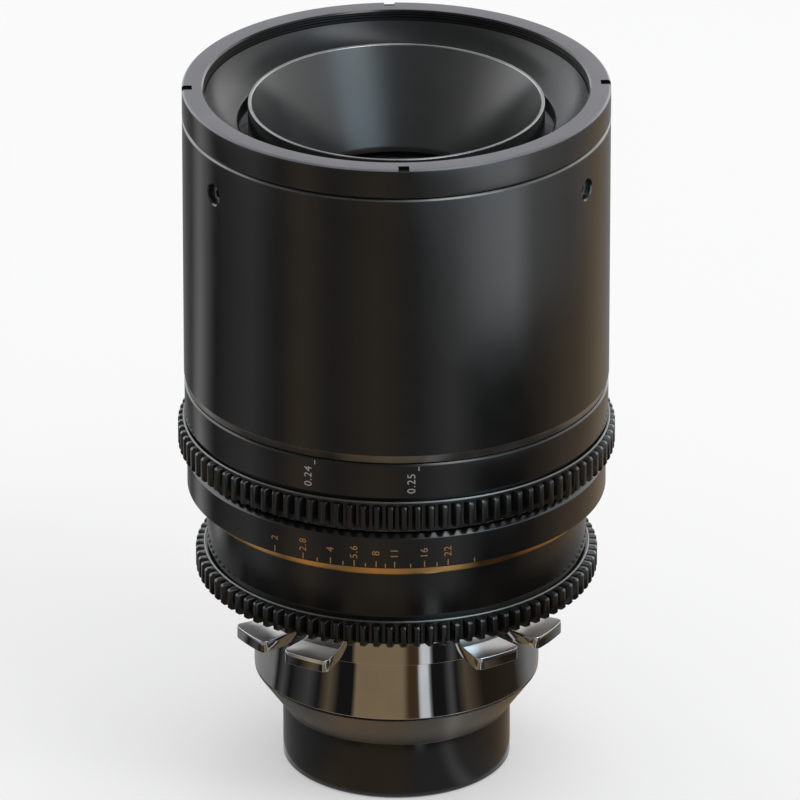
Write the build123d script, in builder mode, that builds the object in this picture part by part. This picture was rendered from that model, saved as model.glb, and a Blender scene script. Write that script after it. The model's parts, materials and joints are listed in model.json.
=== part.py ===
from build123d import *
import math
import os

os.makedirs("parts", exist_ok=True)

# Lengths are in millimetres and angles in degrees.
# Z is the optical axis, height zero is the flange seat, and +Z points to the front.
# An azimuth is measured about Z from -Y towards +X.

# Angle from an azimuth's origin to +X
origin_angle = 90.0

# Clearances
running_gap = 0.06
seat_gap = 0.02
end_gap = 0.1
overrun = 1.0

# Lens mount and its four lugs
spigot_radius = 27.0
spigot_length = 12.3
spigot_wall = 1.6
spigot_chamfer = 0.5
lug_standout = 7.0
lug_thickness = 2.4
lug_count = 4
lug_angle = 41.0
lug_slot_angle = 8.0
lug_first_azimuth = 45.0
lug_corner = 1.2
neck_step = 1.2
neck_wall = 1.7
web_thickness = 3.0
web_gap = 1.15
neck_height = 5.4
mount_flange_setback = 2.9
mount_flange_thickness = 1.2
shim_thickness = 0.3
mount_screw_count = 4
mount_screw_radius = 1.0
mount_screw_head_radius = 1.75
mount_screw_grip = 4.0
screw_slot_width = 0.5
screw_slot_depth = 0.45

# Rear cone and rear tube
cone_height = 7.5
cone_thread_length = 6.0
cone_wall = 1.8
tail_height = 11.4
tail_setback = 5.4
tail_chamfer = 0.5
tube_step = 1.25
tube_wall = 1.35
tube_lip_width = 1.5
tube_lip_height = 1.2
tube_front = 7.5

# Optical elements
glass_gap = 0.06
glass_land = 2.6
retaining_ring_height = 1.8
retaining_ring_width = 2.4
retaining_ring_recess = 0.2
spanner_notch_width = 2.0
spanner_notch_depth = 0.8
spacer_wall = 1.0

# Iris ring and its gear
iris_glide_height = 0.4
iris_glide_width = 1.4
iris_gear_height = 4.2
iris_gear_standout = 2.1
iris_rim_height = 0.7
iris_rim_width = 0.6
iris_groove_height = 0.9
iris_groove_depth = 0.5
iris_neck_height = 8.9
iris_neck_setback = 3.6
iris_ring_wall = 4.4
iris_seat_depth = 0.7
gold_height = 2.3
gold_standout = 0.9
gold_seat_depth = 1.4
gold_chamfer = 0.15
iris_travel_angle = 49.0
iris_drive_azimuth = 100.0
drive_pin_radius = 0.8
drive_pin_hold = 2.0

# Gear teeth of both rings
gear_module = 0.8
tooth_tip_share = 0.34
tooth_root_share = 0.72
tooth_depth_share = 2.25
tooth_chamfer = 0.35

# Iris blades, the cam plate that turns them and the plate they pivot in
blade_count = 9
blade_thickness = 0.3
blade_pitch = 0.42
blade_inner_share = 0.519
blade_outer_share = 0.777
pivot_share = 0.8315
blade_span_angle = 100.0
blade_swing_angle = 33.0
blade_lever_share = 0.18
blade_ear_radius = 1.5
blade_pin_radius = 0.6
rotor_thickness = 2.4
rotor_width = 11.9
plate_thickness = 1.6
plate_width = 13.1
plate_ledge = 0.46
retainer_height = 1.6
retainer_width = 3.5

# Rear housing and mid collar
collar_setback = 0.5
collar_height = 7.0
collar_wall = 1.51
collar_chamfer = 0.8
collar_edge = 0.25
chamber_wall = 3.9
guide_seat_depth = 4.0
housing_flange_height = 5.6

# Focus ring and its gear
focus_gap = 0.45
focus_lip_height = 1.05
focus_gear_height = 4.8
focus_gear_standout = 2.4
focus_rim_height = 0.8
focus_rim_standout = 0.3
focus_groove_height = 0.6
focus_groove_depth = 0.6
focus_band_height = 6.85
focus_band_setback = 0.1
focus_band_chamfer = 0.3
focus_seat_depth = 1.5
focus_skirt_height = 4.0
focus_skirt_wall = 2.08
focus_near_angle = 24.0
focus_far_angle = 198.0
focus_lead = 18.0
focus_screw_radius = 1.25
focus_screw_count = 3
stop_pin_radius = 0.7
stop_pin_inset = 1.07
stop_pin_reach = 3.5
stop_margin_angle = 1.6

# Cam sleeve, guide barrel and cam followers
sleeve_wall = 1.5
sleeve_height = 42.1
glide_height = 0.5
guide_wall = 1.74
guide_shoulder = 2.06
guide_flange_height = 6.4
follower_radius = 1.5
follower_count = 3
follower_hold = 3.0
follower_rise = 14.0
cam_end_angle = 0.5

# Front barrel and front ring
barrel_radius = 40.0
barrel_wall = 2.0
barrel_height = 53.4
barrel_gap = 0.15
barrel_rear_chamfer_height = 1.65
barrel_rear_chamfer_depth = 0.45
barrel_front_chamfer = 0.35
skirt_gap = 0.4
grub_hole_radius = 1.9
grub_hole_drop = 7.1
grub_hole_chamfer = 0.3
grub_length = 4.3
grub_recess = 1.1
grub_socket_radius = 0.85
grub_socket_depth = 1.6
front_ring_height = 6.0
front_ring_skirt = 4.1
front_ring_chamfer = 0.35
front_ring_edge = 0.5
rim_width = 4.0
ledge_width = 2.3
baffle_seat_depth = 0.4
notch_count = 4
notch_width = 2.0
notch_depth = 1.9
notch_height = 0.5

# Front baffle and hood cone
filter_depth = 2.0
baffle_rim_height = 3.1
dish_width = 6.4
dish_height = 4.75
dish_sag = 0.55
baffle_wall = 1.2
baffle_tail = 2.85
hood_gap = 1.9
hood_drop = 3.25
hood_depth = 17.4
hood_lip = 0.6
hood_taper = 8.7
hood_base = 0.85

# Sliding barrel of the front group
group_rear_height = 44.0
group_front_drop = 4.4
group_lip_height = 1.2
group_lip_width = 2.5
group_wall = 9.14
group_relief_depth = 5.14
rear_band_height = 6.0
follower_band_height = 8.0
front_band_height = 12.0

# Heights, stacked from the flange seat to the front
lug_top = lug_thickness
housing_rear = web_thickness + shim_thickness
mount_front = lug_top + neck_height
iris_rear = mount_front + iris_glide_height + end_gap
iris_gear_front = iris_rear + iris_gear_height
iris_rim_front = iris_gear_front + iris_rim_height
iris_neck_rear = iris_rim_front + iris_groove_height
iris_neck_front = iris_neck_rear + iris_neck_height
iris_front = iris_neck_front + gold_height
collar_rear = iris_front + end_gap
collar_front = collar_rear + collar_height
housing_front = collar_rear + housing_flange_height
focus_rear = collar_front + focus_gap
focus_gear_rear = focus_rear + focus_lip_height
focus_gear_front = focus_gear_rear + focus_gear_height
focus_rim_front = focus_gear_front + focus_rim_height
focus_band_rear = focus_rim_front + focus_groove_height
focus_band_front = focus_band_rear + focus_band_height
barrel_rear = focus_band_front + barrel_gap
barrel_front = barrel_rear + barrel_height
front_plane = barrel_front + front_ring_height
cone_rear = -spigot_length - cone_height
tail_rear = cone_rear - tail_height

# Radii of the mount and the rear tube
spigot_bore = spigot_radius - spigot_wall
lug_radius = spigot_radius + lug_standout
neck_radius = spigot_radius + neck_step
neck_bore = neck_radius - neck_wall
tail_radius = spigot_radius - tail_setback
tube_radius = tail_radius - tube_step
web_bore = tube_radius + web_gap
tube_bore = tube_radius - tube_wall
rear_glass_radius = tube_bore - glass_gap

# Radii of the collar and the iris
collar_radius = barrel_radius - collar_setback
iris_neck_radius = collar_radius - iris_neck_setback
mount_flange_radius = iris_neck_radius - mount_flange_setback
journal_radius = iris_neck_radius - iris_ring_wall - running_gap
chamber_radius = journal_radius - chamber_wall
blade_inner = chamber_radius * blade_inner_share
blade_outer = chamber_radius * blade_outer_share
pivot_radius = chamber_radius * pivot_share
blade_lever = chamber_radius * blade_lever_share
plate_radius = chamber_radius + plate_ledge - seat_gap
rotor_radius = chamber_radius - running_gap
iris_seat_radius = iris_neck_radius - iris_seat_depth
gold_seat_radius = iris_neck_radius - gold_seat_depth
gold_radius = iris_neck_radius + gold_standout

# Radii of the barrels, from the outside in
barrel_bore = barrel_radius - barrel_wall
focus_skirt_radius = barrel_bore - skirt_gap
sleeve_radius = focus_skirt_radius - focus_skirt_wall - seat_gap
sleeve_bore = sleeve_radius - sleeve_wall
guide_radius = sleeve_bore - running_gap
guide_bore = guide_radius - guide_wall
group_radius = guide_bore - running_gap
group_bore_radius = group_radius - group_wall
group_relief_radius = group_radius - group_relief_depth
flange_radius = barrel_bore - seat_gap
front_glass_radius = group_bore_radius - glass_gap
focus_band_radius = barrel_radius - focus_band_setback
focus_seat_radius = focus_band_radius - focus_seat_depth
collar_bore = collar_radius - collar_wall
stop_pin_circle = collar_bore - seat_gap - stop_pin_inset

# Radii of the front opening
filter_radius = barrel_radius - rim_width
dish_bore = filter_radius - dish_width
hood_radius = dish_bore - hood_gap
hood_mouth = hood_radius - hood_lip
hood_throat = hood_mouth - hood_taper

# Heights inside the iris, from the cam plate forwards
drive_height = iris_rear + iris_gear_height / 2
rotor_rear = drive_height - rotor_thickness / 2
chamber_floor = rotor_rear - end_gap
blades_rear = rotor_rear + rotor_thickness + end_gap
blades_front = blades_rear + (blade_count - 1) * blade_pitch + blade_thickness
plate_rear = blades_front + end_gap
plate_front = plate_rear + plate_thickness

# Heights inside the barrels
guide_rear = housing_front - guide_seat_depth
guide_front = barrel_front - front_ring_skirt
sleeve_rear = housing_front + glide_height + end_gap
sleeve_front = sleeve_rear + sleeve_height
guide_shoulder_rear = sleeve_front + end_gap + glide_height
focus_drive_height = focus_gear_rear + focus_gear_height / 2
grub_height = barrel_front - grub_hole_drop
hood_front = front_plane - hood_drop
hood_floor = hood_front - hood_depth
hood_rear = hood_floor - hood_base
group_front = guide_front - group_front_drop
follower_height = group_rear_height + follower_rise
front_stack_rear = group_rear_height + group_lip_height
front_stack_front = hood_rear - end_gap - retaining_ring_height
rear_stack_front = tube_front - tube_lip_height
rear_stack_rear = tail_rear + retaining_ring_recess + retaining_ring_height


def turned(*corners):
    """Add a solid turned about the optical axis from (radius, height) corners."""
    with BuildSketch(Plane.XZ) as section:
        with BuildLine():
            Polyline(*corners, close=True)
        make_face()
    revolve(section.sketch, axis=Axis.Z)


def ring(inner, outer, rear, front):
    """Add a plain ring between two radii and two heights."""
    turned((inner, rear), (outer, rear), (outer, front), (inner, front))


def ring_arc(inner, outer, start, span, height=0):
    """Return the sketch of a part of a ring, from a start azimuth over a span."""
    with BuildSketch(Plane.XY.offset(height)) as piece:
        with BuildLine():
            near = CenterArc((0, 0), inner, start - origin_angle, span)
            far = CenterArc((0, 0), outer, start - origin_angle, span)
            Line(near @ 0, far @ 0)
            Line(near @ 1, far @ 1)
        make_face()
    return piece.sketch


def radial_plane(azimuth, radius, height):
    """Return a plane at a radius and height that faces away from the axis."""
    angle = math.radians(azimuth - origin_angle)
    outward = (math.cos(angle), math.sin(angle), 0)
    origin = (radius * outward[0], radius * outward[1], height)
    return Plane(origin=origin, x_dir=(0, 0, 1), z_dir=outward)


def radial_pins(azimuths, inner, outer, height, radius, mode=Mode.ADD):
    """Add or cut round pins that point away from the axis."""
    for azimuth in azimuths:
        with Locations(radial_plane(azimuth, inner, height)):
            Cylinder(radius, outer - inner, align=(Align.CENTER, Align.CENTER, Align.MIN), mode=mode)


def spread(count, first=0.0):
    """Return azimuths spaced evenly about the axis."""
    return [first + index * 360 / count for index in range(count)]


def gear_body(teeth, rear, front, bore):
    """Add a ring gear with straight-sided teeth and chamfered tooth ends."""
    tip = (teeth + 2) * gear_module / 2
    root = tip - tooth_depth_share * gear_module
    pitch = math.radians(360 / teeth)
    corners = []
    for index in range(teeth):
        middle = index * pitch
        for radius, share in (
            (root, -tooth_root_share),
            (tip, -tooth_tip_share),
            (tip, tooth_tip_share),
            (root, tooth_root_share),
        ):
            angle = middle + share * pitch / 2
            corners.append((radius * math.cos(angle), radius * math.sin(angle)))
    with BuildSketch(Plane.XY.offset(rear)) as outline:
        with BuildLine():
            Polyline(*corners, close=True)
        make_face()
        Circle(bore, mode=Mode.SUBTRACT)
    extrude(outline.sketch, amount=front - rear)
    with BuildSketch(Plane.XZ) as envelope:
        with BuildLine():
            Polyline(
                (bore - overrun, rear),
                (tip - tooth_chamfer, rear),
                (tip, rear + tooth_chamfer),
                (tip, front - tooth_chamfer),
                (tip - tooth_chamfer, front),
                (bore - overrun, front),
                close=True,
            )
        make_face()
    revolve(envelope.sketch, axis=Axis.Z, mode=Mode.INTERSECT)


def element_solid(radius, rear, edge, rear_bulge, front_bulge):
    """Add a polished element with a cylindrical edge and a flat land for its spacer."""
    front = rear + edge
    aperture = radius - glass_land
    with BuildSketch(Plane.XZ) as section:
        with BuildLine():
            Polyline((aperture, rear), (radius, rear), (radius, front), (aperture, front))
            TangentArc((0, front + front_bulge), (aperture, front), tangent=(1, 0))
            TangentArc((0, rear - rear_bulge), (aperture, rear), tangent=(1, 0))
            Line((0, rear - rear_bulge), (0, front + front_bulge))
        make_face()
    revolve(section.sketch, axis=Axis.Z)


def spanner_notches(middle, top, drop):
    """Cut two notches for a spanner across a ring's face."""
    with BuildSketch(Plane.XY.offset(top)) as notches:
        Rectangle(2 * (middle + retaining_ring_width), spanner_notch_width)
    extrude(notches.sketch, amount=drop, mode=Mode.SUBTRACT)


# Lens mount: spigot, four slotted lugs, neck and front flange
screw_circle = (web_bore + spigot_bore) / 2
with BuildPart() as pl_mount:
    turned(
        (web_bore, 0),
        (spigot_bore, 0),
        (spigot_bore, -spigot_length),
        (spigot_radius - spigot_chamfer, -spigot_length),
        (spigot_radius, -spigot_length + spigot_chamfer),
        (spigot_radius, 0),
        (neck_radius, 0),
        (neck_radius, mount_front - mount_flange_thickness),
        (mount_flange_radius, mount_front - mount_flange_thickness),
        (mount_flange_radius, mount_front),
        (neck_bore, mount_front),
        (neck_bore, web_thickness),
        (web_bore, web_thickness),
    )
    lug_half = (lug_angle - lug_slot_angle) / 2
    for azimuth in spread(lug_count, lug_first_azimuth):
        for start in (azimuth - lug_angle / 2, azimuth + lug_slot_angle / 2):
            extrude(ring_arc(neck_radius - neck_wall / 2, lug_radius, start, lug_half), lug_thickness)
    outer_edges = pl_mount.edges().filter_by(Axis.Z).filter_by(
        lambda edge: edge.center().X ** 2 + edge.center().Y ** 2 > (lug_radius - overrun) ** 2
    )
    fillet(outer_edges, lug_corner)
    with Locations(Plane(origin=(0, 0, 0), x_dir=(1, 0, 0), z_dir=(0, 0, -1))):
        with PolarLocations(screw_circle, mount_screw_count):
            CounterSinkHole(
                mount_screw_radius + running_gap,
                mount_screw_head_radius + running_gap,
                web_thickness + overrun,
                counter_sink_angle=90,
            )
pl_mount.part.label = "pl_mount"
export_step(pl_mount.part, "parts/pl_mount.step")

with BuildPart() as mount_shim:
    ring(web_bore, neck_bore - running_gap, web_thickness, housing_rear)
    with PolarLocations(screw_circle, mount_screw_count):
        Cylinder(mount_screw_radius + running_gap, front_plane, mode=Mode.SUBTRACT)
mount_shim.part.label = "mount_shim"
export_step(mount_shim.part, "parts/mount_shim.step")

screw_head_height = mount_screw_head_radius - mount_screw_radius
screw_front = housing_rear + mount_screw_grip
with BuildPart() as mount_screws:
    with PolarLocations(screw_circle, mount_screw_count):
        Cone(
            mount_screw_head_radius,
            mount_screw_radius,
            screw_head_height,
            align=(Align.CENTER, Align.CENTER, Align.MIN),
        )
        Cylinder(mount_screw_radius, screw_front, align=(Align.CENTER, Align.CENTER, Align.MIN))
        Box(
            2 * mount_screw_head_radius,
            screw_slot_width,
            2 * screw_slot_depth,
            mode=Mode.SUBTRACT,
        )
mount_screws.part.label = "mount_screws"
export_step(mount_screws.part, "parts/mount_screws.step")

# Rear cone and the rear tube that it carries
thread_radius = spigot_bore - seat_gap
cone_inner = thread_radius - cone_wall
with BuildPart() as rear_cone:
    turned(
        (tube_radius + seat_gap, cone_rear),
        (tail_radius, cone_rear),
        (spigot_radius, -spigot_length),
        (thread_radius, -spigot_length),
        (thread_radius, cone_thread_length - spigot_length),
        (cone_inner, cone_thread_length - spigot_length),
        (cone_inner, -spigot_length),
        (tube_radius + seat_gap, cone_rear + cone_height / 2),
    )
rear_cone.part.label = "rear_cone"
export_step(rear_cone.part, "parts/rear_cone.step")

with BuildPart() as rear_tube:
    turned(
        (tube_bore, tail_rear),
        (tail_radius - tail_chamfer, tail_rear),
        (tail_radius, tail_rear + tail_chamfer),
        (tail_radius, cone_rear),
        (tube_radius, cone_rear),
        (tube_radius, tube_front),
        (tube_bore - tube_lip_width, tube_front),
        (tube_bore - tube_lip_width, rear_stack_front),
        (tube_bore, rear_stack_front),
    )
rear_tube.part.label = "rear_tube"
export_step(rear_tube.part, "parts/rear_tube.step")

# Rear group: each row gives a share of the stack, then the rear and front bulge of a glass
rear_stack = rear_stack_front - rear_stack_rear
rear_group_shares = (
    ("lens_element_8", 0.14, 0.035, 0.06),
    ("rear_spacer_3", 0.12, None, None),
    ("lens_element_7", 0.14, 0.05, -0.04),
    ("rear_spacer_2", 0.17, None, None),
    ("lens_element_6", 0.14, -0.05, -0.05),
    ("rear_spacer_1", 0.14, None, None),
    ("lens_element_5", 0.15, 0.05, 0.03),
)
# Front group: the same, from its rear lip forwards
front_stack = front_stack_front - front_stack_rear
front_group_shares = (
    ("lens_element_4", 0.12, 0.055, 0.04),
    ("front_spacer_3", 0.16, None, None),
    ("lens_element_3", 0.14, 0.07, -0.05),
    ("front_spacer_2", 0.17, None, None),
    ("lens_element_2", 0.16, -0.07, -0.06),
    ("front_spacer_1", 0.12, None, None),
    ("lens_element_1", 0.13, -0.07, 0.125),
)
for stack_rear, stack, radius, bore, shares in (
    (rear_stack_rear, rear_stack, rear_glass_radius, tube_bore, rear_group_shares),
    (front_stack_rear, front_stack, front_glass_radius, group_bore_radius, front_group_shares),
):
    rear = stack_rear
    for name, share, rear_bulge_share, front_bulge_share in shares:
        edge = share * stack
        with BuildPart() as piece:
            if front_bulge_share is None:
                ring(radius - spacer_wall, bore - seat_gap, rear, rear + edge)
            else:
                element_solid(radius, rear, edge, rear_bulge_share * stack, front_bulge_share * stack)
        piece.part.label = name
        export_step(piece.part, f"parts/{name}.step")
        rear += edge

with BuildPart() as rear_retaining_ring:
    ring(
        tube_bore - retaining_ring_width,
        tube_bore - seat_gap,
        rear_stack_rear - retaining_ring_height,
        rear_stack_rear,
    )
    spanner_notches(tube_bore, rear_stack_rear - retaining_ring_height, spanner_notch_depth)
rear_retaining_ring.part.label = "rear_retaining_ring"
export_step(rear_retaining_ring.part, "parts/rear_retaining_ring.step")

with BuildPart() as front_retaining_ring:
    ring(
        group_bore_radius - retaining_ring_width,
        group_bore_radius - seat_gap,
        front_stack_front,
        front_stack_front + retaining_ring_height,
    )
    spanner_notches(
        group_bore_radius,
        front_stack_front + retaining_ring_height - spanner_notch_depth,
        spanner_notch_depth,
    )
front_retaining_ring.part.label = "front_retaining_ring"
export_step(front_retaining_ring.part, "parts/front_retaining_ring.step")

# Rear housing: journal of the iris ring, chamber of the iris and seat of the guide barrel
housing_tail = neck_bore - seat_gap
chamber_front = chamber_radius + plate_ledge
pin_half_angle = math.degrees(math.asin((drive_pin_radius + end_gap) / chamber_radius))
stop_pin_azimuth = iris_drive_azimuth + iris_travel_angle
with BuildPart() as rear_housing:
    turned(
        (tube_radius + running_gap, housing_rear),
        (housing_tail, housing_rear),
        (housing_tail, mount_front + end_gap),
        (journal_radius, mount_front + end_gap),
        (journal_radius, collar_rear),
        (collar_bore - seat_gap, collar_rear),
        (collar_bore - seat_gap, housing_front),
        (guide_radius + seat_gap, housing_front),
        (guide_radius + seat_gap, guide_rear),
        (chamber_front, guide_rear),
        (chamber_front, plate_rear),
        (chamber_radius, plate_rear),
        (chamber_radius, chamber_floor),
        (tube_radius + running_gap, chamber_floor),
    )
    drive_slot = ring_arc(
        chamber_radius - overrun,
        journal_radius + overrun,
        iris_drive_azimuth - pin_half_angle,
        iris_travel_angle + 2 * pin_half_angle,
        chamber_floor,
    )
    extrude(
        drive_slot,
        drive_height + drive_pin_radius + running_gap - chamber_floor,
        mode=Mode.SUBTRACT,
    )
    with Locations((0, 0, housing_rear)):
        with PolarLocations(screw_circle, mount_screw_count):
            Cylinder(
                mount_screw_radius + seat_gap,
                mount_screw_grip + end_gap,
                align=(Align.CENTER, Align.CENTER, Align.MIN),
                mode=Mode.SUBTRACT,
            )
    with Locations((0, 0, guide_rear)):
        with PolarLocations(stop_pin_circle, 1, start_angle=stop_pin_azimuth - origin_angle):
            Cylinder(
                stop_pin_radius + seat_gap,
                housing_front - guide_rear + overrun,
                align=(Align.CENTER, Align.CENTER, Align.MIN),
                mode=Mode.SUBTRACT,
            )
rear_housing.part.label = "rear_housing"
export_step(rear_housing.part, "parts/rear_housing.step")

stop_pin_front = housing_front + stop_pin_reach
with BuildPart() as focus_stop_pin:
    with Locations((0, 0, guide_rear)):
        with PolarLocations(stop_pin_circle, 1, start_angle=stop_pin_azimuth - origin_angle):
            Cylinder(
                stop_pin_radius,
                stop_pin_front - guide_rear,
                align=(Align.CENTER, Align.CENTER, Align.MIN),
            )
focus_stop_pin.part.label = "focus_stop_pin"
export_step(focus_stop_pin.part, "parts/focus_stop_pin.step")

with BuildPart() as mid_collar:
    turned(
        (collar_bore, collar_rear),
        (collar_radius - collar_edge, collar_rear),
        (collar_radius, collar_rear + collar_edge),
        (collar_radius, collar_front - collar_chamfer),
        (collar_radius - collar_chamfer, collar_front),
        (collar_bore, collar_front),
    )
mid_collar.part.label = "mid_collar"
export_step(mid_collar.part, "parts/mid_collar.step")

# Iris ring with its gear, index ring and drive pin
iris_bore = iris_neck_radius - iris_ring_wall
iris_rim_radius = iris_neck_radius + iris_rim_width
groove_radius = iris_neck_radius - iris_groove_depth
with BuildPart() as iris_ring:
    turned(
        (iris_bore, iris_rear),
        (iris_seat_radius, iris_rear),
        (iris_seat_radius, iris_gear_front),
        (iris_rim_radius, iris_gear_front),
        (iris_rim_radius, iris_rim_front),
        (groove_radius, iris_rim_front),
        (groove_radius, iris_neck_rear),
        (iris_neck_radius, iris_neck_rear),
        (iris_neck_radius, iris_neck_front),
        (gold_seat_radius, iris_neck_front),
        (gold_seat_radius, iris_front),
        (iris_bore, iris_front),
    )
    radial_pins(
        [iris_drive_azimuth],
        journal_radius - overrun,
        iris_seat_radius + overrun,
        drive_height,
        drive_pin_radius + seat_gap,
        Mode.SUBTRACT,
    )
iris_ring.part.label = "iris_ring"
export_step(iris_ring.part, "parts/iris_ring.step")

iris_teeth = round((2 * iris_neck_radius + 2 * iris_gear_standout) / gear_module) - 2
with BuildPart() as iris_gear:
    gear_body(iris_teeth, iris_rear, iris_gear_front, iris_seat_radius + seat_gap)
iris_gear.part.label = "iris_gear"
export_step(iris_gear.part, "parts/iris_gear.step")

with BuildPart() as gold_ring:
    turned(
        (gold_seat_radius + seat_gap, iris_neck_front),
        (gold_radius - gold_chamfer, iris_neck_front),
        (gold_radius, iris_neck_front + gold_chamfer),
        (gold_radius, iris_front - gold_chamfer),
        (gold_radius - gold_chamfer, iris_front),
        (gold_seat_radius + seat_gap, iris_front),
    )
gold_ring.part.label = "gold_ring"
export_step(gold_ring.part, "parts/gold_ring.step")

with BuildPart() as iris_glide_ring:
    ring(
        journal_radius + running_gap,
        journal_radius + iris_glide_width,
        mount_front,
        mount_front + iris_glide_height,
    )
iris_glide_ring.part.label = "iris_glide_ring"
export_step(iris_glide_ring.part, "parts/iris_glide_ring.step")

drive_pin_inner = rotor_radius - drive_pin_hold
with BuildPart() as iris_drive_pin:
    radial_pins(
        [iris_drive_azimuth],
        drive_pin_inner,
        iris_seat_radius - end_gap,
        drive_height,
        drive_pin_radius,
    )
iris_drive_pin.part.label = "iris_drive_pin"
export_step(iris_drive_pin.part, "parts/iris_drive_pin.step")


# Iris blades
def lever_point(swing):
    """Return the place of the first blade's drive pin when the blade has swung inwards."""
    angle = math.radians(blade_swing_angle / 2 - swing)
    return (pivot_radius + blade_lever * math.sin(angle), blade_lever * math.cos(angle))


def cam_point(share):
    """Return the drive pin's place in the cam plate at a share of the iris travel."""
    x, y = lever_point(blade_swing_angle * share)
    turn = math.radians(-iris_travel_angle * share)
    return (x * math.cos(turn) - y * math.sin(turn), x * math.sin(turn) + y * math.cos(turn))


band_middle = (blade_inner + blade_outer) / 2
band_width = blade_outer - blade_inner
lever_x, lever_y = lever_point(0)
lever_root = math.hypot(lever_x, lever_y)
with BuildSketch() as blade_outline:
    SlotArc(CenterArc((0, 0), band_middle, 0, blade_span_angle), band_width)
    SlotArc(Line((pivot_radius, 0), (band_middle, 0)), 2 * blade_ear_radius)
    SlotArc(
        Line((lever_x, lever_y), (lever_x * band_middle / lever_root, lever_y * band_middle / lever_root)),
        2 * blade_ear_radius,
    )
for index, azimuth in enumerate(spread(blade_count)):
    rear = blades_rear + index * blade_pitch
    with BuildPart() as blade:
        extrude(blade_outline.sketch, amount=blade_thickness)
        with Locations((pivot_radius, 0, blade_thickness / 2)):
            Cylinder(
                blade_pin_radius,
                plate_front - end_gap - rear - blade_thickness / 2,
                align=(Align.CENTER, Align.CENTER, Align.MIN),
            )
        with Locations((lever_x, lever_y, blade_thickness / 2)):
            Cylinder(
                blade_pin_radius,
                rear + blade_thickness / 2 - rotor_rear - end_gap,
                align=(Align.CENTER, Align.CENTER, Align.MAX),
            )
    placed = Pos(0, 0, rear) * Rot(0, 0, azimuth) * blade.part
    placed.label = f"iris_blade_{index + 1}"
    export_step(placed, f"parts/iris_blade_{index + 1}.step")

with BuildSketch(Plane.XY.offset(rotor_rear)) as cam_slots:
    with PolarLocations(0, blade_count):
        SlotArc(
            ThreePointArc(cam_point(0), cam_point(1 / 2), cam_point(1)),
            2 * (blade_pin_radius + running_gap),
        )
with BuildPart() as iris_rotor:
    ring(rotor_radius - rotor_width, rotor_radius, rotor_rear, rotor_rear + rotor_thickness)
    extrude(cam_slots.sketch, amount=rotor_thickness, mode=Mode.SUBTRACT)
    radial_pins(
        [iris_drive_azimuth],
        drive_pin_inner,
        rotor_radius + overrun,
        drive_height,
        drive_pin_radius + seat_gap,
        Mode.SUBTRACT,
    )
iris_rotor.part.label = "iris_rotor"
export_step(iris_rotor.part, "parts/iris_rotor.step")

with BuildPart() as iris_pivot_plate:
    ring(plate_radius - plate_width, plate_radius, plate_rear, plate_front)
    with Locations((0, 0, plate_rear)):
        with PolarLocations(pivot_radius, blade_count):
            Cylinder(
                blade_pin_radius + running_gap,
                plate_thickness,
                align=(Align.CENTER, Align.CENTER, Align.MIN),
                mode=Mode.SUBTRACT,
            )
iris_pivot_plate.part.label = "iris_pivot_plate"
export_step(iris_pivot_plate.part, "parts/iris_pivot_plate.step")

with BuildPart() as iris_retainer:
    ring(plate_radius - retainer_width, plate_radius, plate_front, plate_front + retainer_height)
    spanner_notches(
        plate_radius,
        plate_front + retainer_height - spanner_notch_depth,
        spanner_notch_depth,
    )
iris_retainer.part.label = "iris_retainer"
export_step(iris_retainer.part, "parts/iris_retainer.step")

# Guide barrel: three straight slots and the flange that carries the front barrel
near_shift = focus_lead * focus_near_angle / 360
far_shift = focus_lead * focus_far_angle / 360
follower_azimuths = spread(follower_count, 180 / follower_count)
slot_radius = follower_radius + running_gap
with BuildPart() as guide_barrel:
    turned(
        (guide_bore, guide_rear),
        (guide_radius, guide_rear),
        (guide_radius, guide_shoulder_rear),
        (guide_radius + guide_shoulder, guide_shoulder_rear),
        (guide_radius + guide_shoulder, guide_front - guide_flange_height),
        (flange_radius, guide_front - guide_flange_height),
        (flange_radius, guide_front),
        (guide_bore, guide_front),
    )
    slot_length = near_shift + far_shift + 2 * (slot_radius + end_gap)
    slot_middle = follower_height + (near_shift - far_shift) / 2
    for azimuth in follower_azimuths:
        with BuildSketch(radial_plane(azimuth, guide_bore - overrun, slot_middle)) as slot:
            SlotOverall(slot_length, 2 * slot_radius)
        extrude(slot.sketch, amount=guide_wall + 2 * overrun, mode=Mode.SUBTRACT)
    radial_pins(
        follower_azimuths,
        flange_radius + seat_gap + barrel_wall - grub_recess - grub_length,
        barrel_radius,
        grub_height,
        grub_hole_radius,
        Mode.SUBTRACT,
    )
guide_barrel.part.label = "guide_barrel"
export_step(guide_barrel.part, "parts/guide_barrel.step")

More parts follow.
